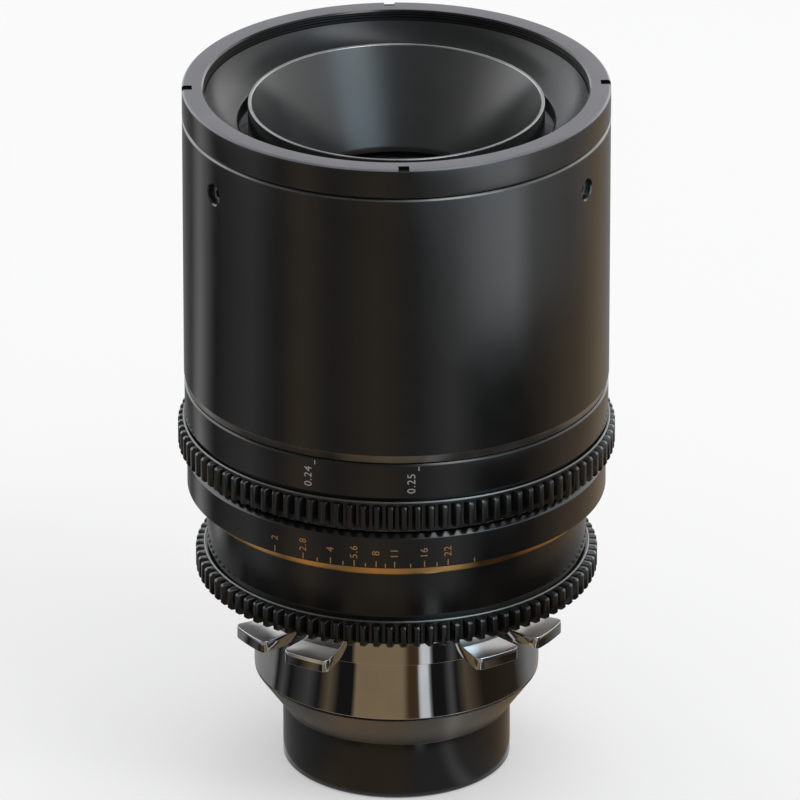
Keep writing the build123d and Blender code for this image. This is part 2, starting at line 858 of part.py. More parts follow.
# Cam sleeve: three left-hand helical slots around the straight ones
cam_radius = (sleeve_bore + sleeve_radius) / 2
cam_turn = focus_near_angle + focus_far_angle + 2 * cam_end_angle
cam_rise = focus_lead * cam_turn / 360
cam_rear = follower_height - far_shift - focus_lead * cam_end_angle / 360
cam_path = Helix(focus_lead, cam_rise, cam_radius, lefthand=True)
cam_section = Plane(origin=cam_path @ 0, x_dir=(1, 0, 0), z_dir=cam_path % 0) * Rectangle(
    sleeve_wall + 2 * overrun, 2 * slot_radius
)
cam_cut = sweep(cam_section, cam_path, is_frenet=True)
with BuildPart() as cam_sleeve:
    ring(sleeve_bore, sleeve_radius, sleeve_rear, sleeve_front)
    for azimuth in follower_azimuths:
        first = azimuth + focus_far_angle + cam_end_angle
        last = azimuth - focus_near_angle - cam_end_angle
        add(Pos(0, 0, cam_rear) * Rot(0, 0, first - origin_angle) * cam_cut, mode=Mode.SUBTRACT)
        for end_azimuth, end_height in ((first, cam_rear), (last, cam_rear + cam_rise)):
            radial_pins(
                [end_azimuth],
                sleeve_bore - overrun,
                sleeve_radius + overrun,
                end_height,
                slot_radius,
                Mode.SUBTRACT,
            )
    radial_pins(
        spread(focus_screw_count),
        sleeve_bore + end_gap,
        sleeve_radius + overrun,
        focus_drive_height,
        focus_screw_radius + seat_gap,
        Mode.SUBTRACT,
    )
cam_sleeve.part.label = "cam_sleeve"
export_step(cam_sleeve.part, "parts/cam_sleeve.step")

for name, rear in (
    ("focus_glide_rear", housing_front),
    ("focus_glide_front", sleeve_front + end_gap),
):
    with BuildPart() as glide:
        ring(guide_radius + seat_gap, sleeve_radius - end_gap, rear, rear + glide_height)
    glide.part.label = name
    export_step(glide.part, f"parts/{name}.step")

# Focus ring with its scale band, stop groove and skirt
groove_half = stop_pin_radius + running_gap
groove_start = stop_pin_azimuth - focus_near_angle - stop_margin_angle
groove_span = focus_near_angle + focus_far_angle + 2 * stop_margin_angle
with BuildPart() as focus_ring:
    turned(
        (sleeve_radius + seat_gap, focus_rear),
        (focus_seat_radius, focus_rear),
        (focus_seat_radius, focus_rim_front),
        (focus_band_radius - focus_groove_depth, focus_rim_front),
        (focus_band_radius - focus_groove_depth, focus_band_rear),
        (focus_band_radius, focus_band_rear),
        (focus_band_radius, focus_band_front - focus_band_chamfer),
        (focus_band_radius - focus_band_chamfer, focus_band_front),
        (focus_skirt_radius, focus_band_front),
        (focus_skirt_radius, focus_band_front + focus_skirt_height),
        (sleeve_radius + seat_gap, focus_band_front + focus_skirt_height),
    )
    stop_groove = ring_arc(
        stop_pin_circle - groove_half,
        stop_pin_circle + groove_half,
        groove_start,
        groove_span,
        focus_rear,
    )
    extrude(stop_groove, stop_pin_front + end_gap - focus_rear, mode=Mode.SUBTRACT)
    radial_pins(
        spread(focus_screw_count),
        sleeve_radius - overrun,
        focus_seat_radius + overrun,
        focus_drive_height,
        focus_screw_radius + seat_gap,
        Mode.SUBTRACT,
    )
focus_ring.part.label = "focus_ring"
export_step(focus_ring.part, "parts/focus_ring.step")

focus_teeth = round((2 * barrel_radius + focus_gear_standout) / gear_module) - 2
with BuildPart() as focus_gear:
    gear_body(focus_teeth, focus_gear_rear, focus_gear_front, focus_seat_radius + seat_gap)
    ring(
        focus_seat_radius + seat_gap,
        barrel_radius + focus_rim_standout,
        focus_gear_front,
        focus_rim_front,
    )
focus_gear.part.label = "focus_gear"
export_step(focus_gear.part, "parts/focus_gear.step")

with BuildPart() as focus_drive_screws:
    radial_pins(
        spread(focus_screw_count),
        sleeve_bore + end_gap,
        focus_seat_radius - end_gap,
        focus_drive_height,
        focus_screw_radius,
    )
focus_drive_screws.part.label = "focus_drive_screws"
export_step(focus_drive_screws.part, "parts/focus_drive_screws.step")

# Sliding barrel of the front group and the followers that move it
band_front_rear = group_front - front_band_height
follower_rear = follower_height - follower_band_height / 2
with BuildPart() as front_group_barrel:
    turned(
        (group_bore_radius - group_lip_width, group_rear_height),
        (group_radius, group_rear_height),
        (group_radius, group_rear_height + rear_band_height),
        (group_relief_radius, group_rear_height + rear_band_height),
        (group_relief_radius, follower_rear),
        (group_radius, follower_rear),
        (group_radius, follower_rear + follower_band_height),
        (group_relief_radius, follower_rear + follower_band_height),
        (group_relief_radius, band_front_rear),
        (group_radius, band_front_rear),
        (group_radius, group_front),
        (hood_radius + seat_gap, group_front),
        (hood_radius + seat_gap, hood_rear),
        (group_bore_radius, hood_rear),
        (group_bore_radius, front_stack_rear),
        (group_bore_radius - group_lip_width, front_stack_rear),
    )
    radial_pins(
        follower_azimuths,
        group_radius - follower_hold,
        group_radius + overrun,
        follower_height,
        follower_radius + seat_gap,
        Mode.SUBTRACT,
    )
front_group_barrel.part.label = "front_group_barrel"
export_step(front_group_barrel.part, "parts/front_group_barrel.step")

with BuildPart() as cam_followers:
    radial_pins(
        follower_azimuths,
        group_radius - follower_hold,
        sleeve_radius - end_gap,
        follower_height,
        follower_radius,
    )
cam_followers.part.label = "cam_followers"
export_step(cam_followers.part, "parts/cam_followers.step")

with BuildPart() as hood_cone:
    turned(
        (hood_throat, hood_rear),
        (hood_radius, hood_rear),
        (hood_radius, hood_front),
        (hood_mouth, hood_front),
        (hood_throat, hood_floor),
    )
hood_cone.part.label = "hood_cone"
export_step(hood_cone.part, "parts/hood_cone.step")

# Front barrel and its three grub screws
with BuildPart() as front_barrel:
    turned(
        (barrel_bore, barrel_rear),
        (barrel_radius - barrel_rear_chamfer_depth, barrel_rear),
        (barrel_radius, barrel_rear + barrel_rear_chamfer_height),
        (barrel_radius, barrel_front - barrel_front_chamfer),
        (barrel_radius - barrel_front_chamfer, barrel_front),
        (barrel_bore, barrel_front),
    )
    for azimuth in follower_azimuths:
        with Locations(radial_plane(azimuth, barrel_radius, grub_height)):
            Cylinder(grub_hole_radius, 2 * (barrel_wall + overrun), mode=Mode.SUBTRACT)
            Cone(
                grub_hole_radius,
                grub_hole_radius + 2 * grub_hole_chamfer,
                2 * grub_hole_chamfer,
                mode=Mode.SUBTRACT,
            )
front_barrel.part.label = "front_barrel"
export_step(front_barrel.part, "parts/front_barrel.step")

grub_outer = barrel_radius - grub_recess
with BuildPart() as front_grub_screws:
    radial_pins(
        follower_azimuths,
        grub_outer - grub_length + end_gap,
        grub_outer,
        grub_height,
        grub_hole_radius - seat_gap,
    )
    for azimuth in follower_azimuths:
        plane = radial_plane(azimuth, grub_outer - grub_socket_depth, grub_height)
        with BuildSketch(plane) as socket:
            RegularPolygon(grub_socket_radius, 6)
        extrude(socket.sketch, amount=grub_socket_depth, mode=Mode.SUBTRACT)
front_grub_screws.part.label = "front_grub_screws"
export_step(front_grub_screws.part, "parts/front_grub_screws.step")

# Front ring with its filter bore and rim notches
filter_floor = front_plane - filter_depth
ledge_height = filter_floor - baffle_rim_height
ledge_bore = filter_radius - ledge_width
baffle_seat = filter_radius - baffle_seat_depth
with BuildPart() as front_ring:
    turned(
        (ledge_bore, guide_front),
        (flange_radius, guide_front),
        (flange_radius, barrel_front),
        (barrel_radius - front_ring_edge, barrel_front),
        (barrel_radius, barrel_front + front_ring_edge),
        (barrel_radius, front_plane - front_ring_chamfer),
        (barrel_radius - front_ring_chamfer, front_plane),
        (filter_radius, front_plane),
        (filter_radius, filter_floor),
        (baffle_seat, filter_floor),
        (baffle_seat, ledge_height),
        (ledge_bore, ledge_height),
    )
    for azimuth in spread(notch_count):
        with Locations(radial_plane(azimuth, barrel_radius, front_plane)):
            Box(2 * notch_height, notch_width, 2 * notch_depth, mode=Mode.SUBTRACT)
front_ring.part.label = "front_ring"
export_step(front_ring.part, "parts/front_ring.step")

# Dished baffle between the filter bore and the hood
baffle_radius = baffle_seat - seat_gap
dish_rear = filter_floor - dish_height
dish_middle_radius = (baffle_radius + dish_bore) / 2 + dish_sag
dish_middle_height = (filter_floor + dish_rear) / 2 - dish_sag
with BuildPart() as front_baffle:
    with BuildSketch(Plane.XZ) as baffle_section:
        with BuildLine():
            Polyline(
                (baffle_radius, filter_floor),
                (baffle_radius, ledge_height),
                (ledge_bore - seat_gap, ledge_height),
                (dish_bore + baffle_wall, dish_rear - baffle_wall / 2),
                (dish_bore + baffle_wall, dish_rear - baffle_tail),
                (dish_bore, dish_rear - baffle_tail),
                (dish_bore, dish_rear),
            )
            ThreePointArc(
                (dish_bore, dish_rear),
                (dish_middle_radius, dish_middle_height),
                (baffle_radius, filter_floor),
            )
        make_face()
    revolve(axis=Axis.Z)
front_baffle.part.label = "front_baffle"
export_step(front_baffle.part, "parts/front_baffle.step")
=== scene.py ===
# The cinema prime lens as it looks, built round its CAD frame
import json
import math

import bmesh
import bpy
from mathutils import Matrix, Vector

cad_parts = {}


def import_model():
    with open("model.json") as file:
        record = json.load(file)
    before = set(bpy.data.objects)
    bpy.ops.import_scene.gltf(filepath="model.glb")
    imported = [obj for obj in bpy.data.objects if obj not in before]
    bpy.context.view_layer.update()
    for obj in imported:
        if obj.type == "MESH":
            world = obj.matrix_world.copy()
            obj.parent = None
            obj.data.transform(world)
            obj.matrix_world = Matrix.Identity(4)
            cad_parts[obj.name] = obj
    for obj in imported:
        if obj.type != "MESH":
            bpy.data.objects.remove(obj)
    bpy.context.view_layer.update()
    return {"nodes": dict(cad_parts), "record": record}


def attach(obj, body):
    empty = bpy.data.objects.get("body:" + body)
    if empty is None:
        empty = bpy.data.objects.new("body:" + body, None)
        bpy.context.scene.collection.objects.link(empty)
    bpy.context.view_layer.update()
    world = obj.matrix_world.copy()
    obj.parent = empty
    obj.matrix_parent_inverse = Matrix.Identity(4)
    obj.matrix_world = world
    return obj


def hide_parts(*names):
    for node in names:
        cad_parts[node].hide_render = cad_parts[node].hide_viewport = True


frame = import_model()

# Lengths here are in millimetres and angles in degrees.
# Z is the optical axis. An azimuth is measured about Z from -Y towards +X. The outer
# sizes come from the frame, and the rest are as in the part's source.
MM = 0.001
SEGMENTS = 288
SHARP_ANGLE = 32

# Cuts of crisp and of soft edges, and the gap between pieces that fit together
FINE = 0.08
SOFT = 0.15
FIT = 0.02


def measured(node):
    """Return the bore, radius, rear and front of a round CAD node in millimetres."""
    corners = [vert.co / MM for vert in frame["nodes"][node].data.vertices]
    radii = [math.hypot(corner.x, corner.y) for corner in corners]
    heights = [corner.z for corner in corners]
    reach = (min(radii), max(radii), min(heights), max(heights))
    return [round(value, 4) for value in reach]


# Front ring, barrel, baffle and hood
LEDGE_BORE, _, RING_REAR, RIM_FRONT = measured("front_ring")
BARREL_BORE, BARREL_RADIUS, BARREL_REAR, BARREL_FRONT = measured("front_barrel")
DISH_BORE, BAFFLE_RADIUS, BAFFLE_REAR, FILTER_FLOOR = measured("front_baffle")
HOOD_THROAT, HOOD_RADIUS, HOOD_REAR, HOOD_FRONT = measured("hood_cone")
BARREL_REAR_CHAMFER = (0.45, 1.65)
EDGE_CHAMFER = 0.35
RIM_EDGE = 0.5
NOTCH_AZIMUTHS = (0, 90, 180, 270)
NOTCH_WIDTH = 2.0
NOTCH_DEPTH = 1.9
NOTCH_HEIGHT = 0.5
GRUB_DROP = 7.1
GRUB_RADIUS = 1.9
GRUB_AZIMUTHS = (60, 180, 300)
GRUB_CHAMFER = 0.3
PLUG_OVERRUN = 1.0
PLUG_FLARE = 0.9
PLUG_SIDES = 48
FILTER_RADIUS = 36.0
THREAD_PITCH = 0.5
THREAD_DEPTH = 0.12
LEDGE_RISE = 0.9
LEDGE_HEIGHT = BARREL_FRONT + LEDGE_RISE
BAFFLE_WALL = 1.2
BAFFLE_TAIL = 2.85
DISH_REAR = BAFFLE_REAR + BAFFLE_TAIL
DISH_SAG = 0.55
HOOD_LIP = 0.6
HOOD_THROAT_LENGTH = 0.85
HOOD_THROAT_ROUND = 0.3
LIP_ROUND = 0.2

# Focus ring
FOCUS_BORE, FOCUS_BAND_RADIUS, FOCUS_REAR, FOCUS_SKIRT_FRONT = measured("focus_ring")
FOCUS_GEAR_BORE, _, FOCUS_GEAR_REAR, FOCUS_RIM_FRONT = measured("focus_gear")
FOCUS_SEAT = FOCUS_GEAR_BORE - FIT
FOCUS_RIM_RADIUS = 40.3
FOCUS_RIM_HEIGHT = 0.8
FOCUS_GEAR_FRONT = FOCUS_RIM_FRONT - FOCUS_RIM_HEIGHT
RIM_ROUND = 0.3
FOCUS_GROOVE_DEPTH = 0.6
FOCUS_GROOVE = FOCUS_BAND_RADIUS - FOCUS_GROOVE_DEPTH
FOCUS_GROOVE_HEIGHT = 0.6
FOCUS_BAND_REAR = FOCUS_RIM_FRONT + FOCUS_GROOVE_HEIGHT
FOCUS_BAND_GAP = 0.15
FOCUS_BAND_FRONT = BARREL_REAR - FOCUS_BAND_GAP
FOCUS_BAND_CHAMFER = 0.3
FOCUS_SKIRT_GAP = 0.4
FOCUS_SKIRT = BARREL_BORE - FOCUS_SKIRT_GAP
# Groove of the stop pin: its inner and outer radius, and the height of its bottom
STOP_GROOVE = (36.14, 37.66, 34.6)

# Gears
GEAR_MODULE = 0.8
TOOTH_TIP_SHARE = 0.34
TOOTH_ROOT_SHARE = 0.72
TOOTH_DEPTH = 1.8
TOOTH_CHAMFER = 0.35
TOOTH_ROUND = 0.07
TOOTH_EDGE_ANGLE = 20
GEAR_BORE_MARGIN = 0.1
FOCUS_TEETH = 101
IRIS_TEETH = 93

# Collar, iris ring and gold ring
COLLAR_BORE, COLLAR_RADIUS, COLLAR_REAR, COLLAR_FRONT = measured("mid_collar")
IRIS_BORE, IRIS_RIM_RADIUS, IRIS_REAR, IRIS_FRONT = measured("iris_ring")
IRIS_GEAR_BORE, _, _, IRIS_GEAR_FRONT = measured("iris_gear")
GOLD_BORE, GOLD_RADIUS, IRIS_NECK_FRONT, _ = measured("gold_ring")
COLLAR_CHAMFER = 0.8
COLLAR_EDGE = 0.25
IRIS_SEAT = IRIS_GEAR_BORE - FIT
IRIS_RIM_HEIGHT = 0.7
IRIS_RIM_FRONT = IRIS_GEAR_FRONT + IRIS_RIM_HEIGHT
IRIS_GROOVE_DEPTH = 1.1
IRIS_GROOVE = IRIS_RIM_RADIUS - IRIS_GROOVE_DEPTH
IRIS_GROOVE_HEIGHT = 0.9
IRIS_NECK_REAR = IRIS_RIM_FRONT + IRIS_GROOVE_HEIGHT
IRIS_NECK_STEP = 0.6
IRIS_NECK_RADIUS = IRIS_RIM_RADIUS - IRIS_NECK_STEP
GOLD_SEAT = GOLD_BORE - FIT
GOLD_CHAMFER = 0.15

# Margins of the bands of another material on the barrel, the gears' rims and the lugs
BARREL_BAND = 1.0
RIM_BAND = 0.5
LUG_BAND = 0.05

# Lens mount, cone and tail
WEB_BORE, LUG_RADIUS, SPIGOT_REAR, MOUNT_FRONT = measured("pl_mount")
TUBE_SEAT, SPIGOT_RADIUS, CONE_REAR, CONE_THREAD_FRONT = measured("rear_cone")
TUBE_LIP_BORE, TAIL_RADIUS, TAIL_REAR, TUBE_FRONT = measured("rear_tube")
SPIGOT_WALL = 1.6
SPIGOT_BORE = SPIGOT_RADIUS - SPIGOT_WALL
SPIGOT_CHAMFER = 0.5
WEB_FRONT = 3.0
NECK_RADIUS = 28.2
NECK_BORE = 26.5
MOUNT_FLANGE_RADIUS = 33.0
MOUNT_FLANGE_HEIGHT = 1.2
MOUNT_FLANGE_REAR = MOUNT_FRONT - MOUNT_FLANGE_HEIGHT
LUG_FOOT = 27.6
LUG_FRONT = 2.4
LUG_AZIMUTHS = (45, 135, 225, 315)
LUG_HALF_ANGLE = 20.5
LUG_SLOT_HALF_ANGLE = 4.0
LUG_CORNER = 1.2
LUG_CORNER_STEPS = 6
LUG_RIM_STEPS = 12
LUG_FOOT_STEPS = 8
LUG_EDGE_ANGLE = 60
LUG_EDGE_ROUND = 0.1
CONE_INNER = 23.58
CONE_ROUND = 0.12
TAIL_CHAMFER = 0.5
TUBE_RADIUS = TUBE_SEAT - FIT
TUBE_BORE = 19.0
TUBE_LIP_HEIGHT = 1.2
TUBE_LIP_REAR = TUBE_FRONT - TUBE_LIP_HEIGHT

# Glass: edge radius, clear radius, edge from rear to front, then both vertex heights
FRONT_GLASS = (22.94, 20.34, 78.173, 83.1, 80.826, 87.8375)
REAR_GLASS = (18.94, 16.34, -29.2, -24.23, -30.4425, -22.1)

# Scales: the text or None for a short mark, and its azimuth
FOCUS_SCALE = (
    ("0.24", -24.3),
    ("0.25", 4.0),
    ("0.3", 98.0),
    ("0.35", 116.0),
    ("0.4", 131.0),
    ("0.5", 147.0),
    ("0.7", 163.0),
    ("1", 175.0),
    ("2", 187.0),
)
STOP_SCALE = (
    ("22", 12.1),
    ("16", 5.6),
    ("11", -2.5),
    ("8", -7.5),
    ("5.6", -13.5),
    ("4", -20.1),
    ("2.8", -28.1),
    ("2", -37.0),
    (None, 19.6),
    (None, 9.0),
    (None, 1.85),
    (None, -5.0),
    (None, -10.4),
    (None, -16.6),
    (None, -23.9),
)
# Texts: their size, their height and how far in azimuth they stand from their mark
FOCUS_TEXT = (2.15, 43.1, -1.9)
STOP_TEXT = (2.0, 28.6, 0.0)
# Marks: the heights between which they run
FOCUS_MARK = (45.7, 46.55)
STOP_MARK = (25.75, 26.95)
STOP_SHORT_MARK = (25.75, 26.5)
MARK_WIDTH = 0.2
INK_LIFT = 0.004
INK_THICKNESS = 0.02
INK_STEP = 0.35
TEXT_SPACING = 1.12

# Camera
CAMERA_DISTANCE = 2300.0
CAMERA_ELEVATION = 24.6
CAMERA_AZIMUTH = -2.0
CAMERA_FOCAL_LENGTH = 549.5
SENSOR_WIDTH = 36.0
# How far the camera sees, in metres
CAMERA_CLIP = 100.0
# What it looks at: a step to its right and a height
AIM = (0.66, 41.95)


# Shapes


def curve_points(start, control, end, steps):
    """Return points on a quadratic curve."""
    points = []
    for step in range(steps + 1):
        share = step / steps
        points.append(
            start * (1 - share) ** 2 + control * 2 * share * (1 - share) + end * share**2
        )
    return points


def soften(corners, steps=4):
    """Return an outline with each (radius, height, cut) corner rounded by its cut."""
    outline = []
    for index, (radius, height, cut) in enumerate(corners):
        corner = Vector((radius, height))
        if not cut:
            outline.append(corner)
            continue
        before = Vector(corners[index - 1][:2]) - corner
        after = Vector(corners[(index + 1) % len(corners)][:2]) - corner
        start = corner + before.normalized() * cut
        end = corner + after.normalized() * cut
        outline.extend(curve_points(start, corner, end, steps))
    return outline


def arc_points(start, middle_push, end, steps=24):
    """Return points on a curve from start to end, pushed sideways at its middle."""
    start, end = Vector(start), Vector(end)
    control = (start + end) / 2 + Vector(middle_push) * 2
    return curve_points(start, control, end, steps)


def dome_points(clear_radius, edge_height, vertex_height, steps=24):
    """Return points on a spherical surface, from the axis to its clear radius."""
    sag = vertex_height - edge_height
    curve = (clear_radius**2 + sag**2) / (2 * sag)
    points = []
    for step in range(steps + 1):
        radius = clear_radius * step / steps
        drop = curve - math.copysign(math.sqrt(curve**2 - radius**2), curve)
        points.append(Vector((radius, vertex_height - drop)))
    return points


def on_circle(radius, azimuth, height):
    """Return a point in metres at a radius, azimuth and height in millimetres."""
    angle = math.radians(azimuth - 90)
    return Vector((radius * math.cos(angle), radius * math.sin(angle), height)) * MM


def finish_mesh(name, work, smooth=True):
    """Turn a bmesh into an object in the scene."""
    bmesh.ops.recalc_face_normals(work, faces=work.faces)
    mesh = bpy.data.meshes.new(name)
    work.to_mesh(mesh)
    work.free()
    for face in mesh.polygons:
        face.use_smooth = smooth
    mesh.set_sharp_from_angle(angle=math.radians(SHARP_ANGLE))
    piece = bpy.data.objects.new(name, mesh)
    bpy.context.scene.collection.objects.link(piece)
    return piece


def lathe(name, outline, closed=True, segments=SEGMENTS):
    """Return a piece turned about the axis from (radius, height) points."""
    work = bmesh.new()
    rings = []
    for radius, height in outline:
        if radius == 0:
            rings.append([work.verts.new((0, 0, height * MM))] * segments)
            continue
        ring = [
            work.verts.new(on_circle(radius, 360 * index / segments, height))
            for index in range(segments)
        ]
        rings.append(ring)
    pairs = list(zip(rings, rings[1:]))
    if closed:
        pairs.append((rings[-1], rings[0]))
    for near, far in pairs:
        for index in range(segments):
            after = (index + 1) % segments
            corners = [near[index], near[after], far[after], far[index]]
            corners = list(dict.fromkeys(corners))
            if len(corners) > 2:
                work.faces.new(corners)
    return finish_mesh(name, work)


def turned(name, corners):
    """Return a closed turned piece from (radius, height, cut) corners."""
    return lathe(name, soften(corners))


def cut_with(piece, cutters):
    """Cut other pieces out of a piece and remove them."""
    for cutter in cutters:
        modifier = piece.modifiers.new("cut", "BOOLEAN")
        modifier.operation = "DIFFERENCE"
        modifier.solver = "EXACT"
        modifier.object = cutter
    graph = bpy.context.evaluated_depsgraph_get()
    mesh = bpy.data.meshes.new_from_object(piece.evaluated_get(graph))
    mesh.name = piece.name
    piece.modifiers.clear()
    piece.data = mesh
    for cutter in cutters:
        bpy.data.objects.remove(cutter)
    for face in mesh.polygons:
        face.use_smooth = True
    mesh.set_sharp_from_angle(angle=math.radians(SHARP_ANGLE))


def joined(name, pieces):
    """Join pieces into one object."""
    work = bmesh.new()
    for piece in pieces:
        work.from_mesh(piece.data)
        bpy.data.objects.remove(piece)
    return finish_mesh(name, work)


def dress(piece, body, slot, *nodes, look=None):
    """Give a piece its body, slot, look and the CAD nodes that it stands for."""
    piece.data.materials.clear()
    piece.data.materials.append(MATERIALS[look or slot])
    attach(piece, body)
    if nodes:
        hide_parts(*nodes)


def band_material(piece, look, low, high, inner=0.0, outer=BARREL_RADIUS * 2):
    """Give the faces between two heights and two radii another material."""
    piece.data.materials.append(MATERIALS[look])
    place = len(piece.data.materials) - 1
    for face in piece.data.polygons:
        middle = face.center / MM
        if low < middle.z < high and inner < math.hypot(middle.x, middle.y) < outer:
            face.material_index = place


# Materials

# Sizes of the noises, and the depth of the spots in ink
LINE_SIZE = 0.16
METAL_LINE_SIZE = 0.2
GRAIN_SIZE = 0.07
CLOUD_SIZE = 9.0
SMUDGE_SIZE = 6.0
DUST_SIZE = 0.5
SPOT_SIZE = 0.12
SPOT_DEPTH = 0.004

# Detail of the turning lines, the noise values between which roughness and colour change,
# and how rough dust makes glass
LINE_DETAIL = 2.0
ROUGH_PLACES = (0.3, 0.7)
TONE_PLACES = (0.35, 0.65)
DUST_ROUGHNESS = 0.012

# Glass and its coating, whose thickness is in nanometres
GLASS_TINT = (0.93, 0.97, 1.0)
GLASS_IOR = 1.62
FILM_THICKNESS = 330.0
FILM_IOR = 1.38

# Darker and lighter tone of each finish
BLACK_TONES = ((0.0032, 0.0032, 0.0032), (0.0046, 0.0044, 0.0042))
INNER_TONES = ((0.021, 0.022, 0.023), (0.024, 0.025, 0.026))
GEAR_TONES = ((0.0035, 0.0035, 0.0035), (0.005, 0.005, 0.005))
TAIL_TONES = ((0.0026, 0.0025, 0.0024), (0.0038, 0.0036, 0.0034))
THREAD_TONES = ((0.003, 0.003, 0.003), (0.0045, 0.0045, 0.0045))
# The dish's tones are darker than the inner black of its slot: painted shade in the dish
# under the rim
DISH_SHADE_TONES = ((0.008, 0.0084, 0.009), (0.0098, 0.0102, 0.011))
RIM_TONES = ((0.108, 0.107, 0.124), (0.13, 0.128, 0.148))
GOLD_TONES = ((0.54, 0.32, 0.12), (0.66, 0.39, 0.145))
CHROME_TONES = ((0.6, 0.6, 0.61), (0.66, 0.66, 0.66))
CONE_TONES = ((0.16, 0.145, 0.125), (0.19, 0.17, 0.145))
ALUMINIUM_TONES = ((0.55, 0.56, 0.57), (0.62, 0.62, 0.63))
SPRING_TONES = ((0.12, 0.12, 0.125), (0.17, 0.17, 0.175))
BRASS_TONES = ((0.55, 0.4, 0.16), (0.62, 0.46, 0.2))
SCREW_TONES = ((0.2, 0.2, 0.21), (0.28, 0.28, 0.29))
CUT_TONES = ((0.1, 0.1, 0.098), (0.14, 0.138, 0.13))
TURNED_TONES = ((0.2, 0.19, 0.18), (0.26, 0.25, 0.23))
GROUND_TONES = ((0.5, 0.49, 0.485), (0.58, 0.57, 0.56))
LIP_TONES = ((0.24, 0.24, 0.24), (0.3, 0.3, 0.3))
PLASTIC_TONES = ((0.55, 0.55, 0.53), (0.66, 0.66, 0.63))
FOCUS_INK_TONES = ((0.22, 0.22, 0.21), (0.3, 0.3, 0.285))
STOP_INK_TONES = ((0.22, 0.095, 0.028), (0.32, 0.14, 0.04))

# Anodised finishes: tones, roughness, depths of the grain and of the turning lines, gloss
ANODISED = {
    "black_anodised": (BLACK_TONES, (0.14, 0.18), 0.0002, 0.0003, 0.5),
    "front_ring_black": (BLACK_TONES, (0.14, 0.18), 0.0002, 0.0003, 0.5),
    "inner_black": (INNER_TONES, (0.22, 0.26), 0.0003, 0.0004, 0.5),
    "gear_black": (GEAR_TONES, (0.18, 0.24), 0.0005, 0.0003, 0.5),
    "tail_black": (TAIL_TONES, (0.14, 0.19), 0.0002, 0.0003, 0.5),
    # Painted shade: a black with little gloss for the thread bore and the rim notches, so
    # these recesses stay dark
    "thread_black": (THREAD_TONES, (0.4, 0.5), 0.0006, 0.0006, 0.12),
    # Painted shade: a darker, duller copy of the inner black for the dish
    "dish_black": (DISH_SHADE_TONES, (0.26, 0.32), 0.0004, 0.0006, 0.36),
    "rim_face": (RIM_TONES, (0.34, 0.42), 0.0012, 0.0016, 0.5),
}

# Turned metals: tones, roughness and depth of the turning lines
METALS = {
    "gold_anodised": (GOLD_TONES, (0.1, 0.14), 0.0003),
    "mount_chrome": (CHROME_TONES, (0.02, 0.035), 0.00006),
    "cone_steel": (CONE_TONES, (0.3, 0.38), 0.0012),
    "turned_aluminium": (ALUMINIUM_TONES, (0.3, 0.4), 0.002),
    "spring_steel": (SPRING_TONES, (0.35, 0.45), 0.0008),
    "turned_brass": (BRASS_TONES, (0.25, 0.35), 0.002),
    "screw_steel": (SCREW_TONES, (0.3, 0.4), 0.001),
    "cut_edge": (CUT_TONES, (0.28, 0.34), 0.0006),
    "turned_edge": (TURNED_TONES, (0.26, 0.34), 0.0008),
    "ground_face": (GROUND_TONES, (0.3, 0.36), 0.0008),
    "lip_edge": (LIP_TONES, (0.24, 0.32), 0.0006),
}

# Engraving paint and plastic: tones and roughness
INKS = {
    "glide_plastic": (PLASTIC_TONES, (0.35, 0.45)),
    "focus_ink": (FOCUS_INK_TONES, (0.4, 0.5)),
    "stop_ink": (STOP_INK_TONES, (0.4, 0.5)),
}


def computed(tree, operation, *values):
    """Return the result of a math node on numbers and sockets."""
    node = tree.nodes.new("ShaderNodeMath")
    node.operation = operation
    for socket, value in zip(node.inputs, values):
        if isinstance(value, (int, float)):
            socket.default_value = value
        else:
            tree.links.new(value, socket)
    return node.outputs[0]


def ranged(tree, factor, low, high, to_low=0.0, to_high=1.0):
    """Return a factor mapped from one range to another."""
    node = tree.nodes.new("ShaderNodeMapRange")
    ends = ("From Min", "From Max", "To Min", "To Max")
    for end, value in zip(ends, (low, high, to_low, to_high)):
        node.inputs[end].default_value = value
    tree.links.new(factor, node.inputs["Value"])
    return node.outputs["Result"]


def axis_distance(tree, split):
    """Return how far from the axis a separated place lies."""
    across = computed(tree, "POWER", split.outputs["X"], 2.0)
    along = computed(tree, "POWER", split.outputs["Y"], 2.0)
    return computed(tree, "SQRT", computed(tree, "ADD", across, along))


def direct_rays(tree):
    """Return 1 where the camera, gloss or glass looks, and 0 for light on surfaces."""
    path = tree.nodes.new("ShaderNodeLightPath")
    seen = path.outputs["Is Camera Ray"]
    for kind in ("Is Glossy Ray", "Is Transmission Ray"):
        seen = computed(tree, "MAXIMUM", seen, path.outputs[kind])
    return seen


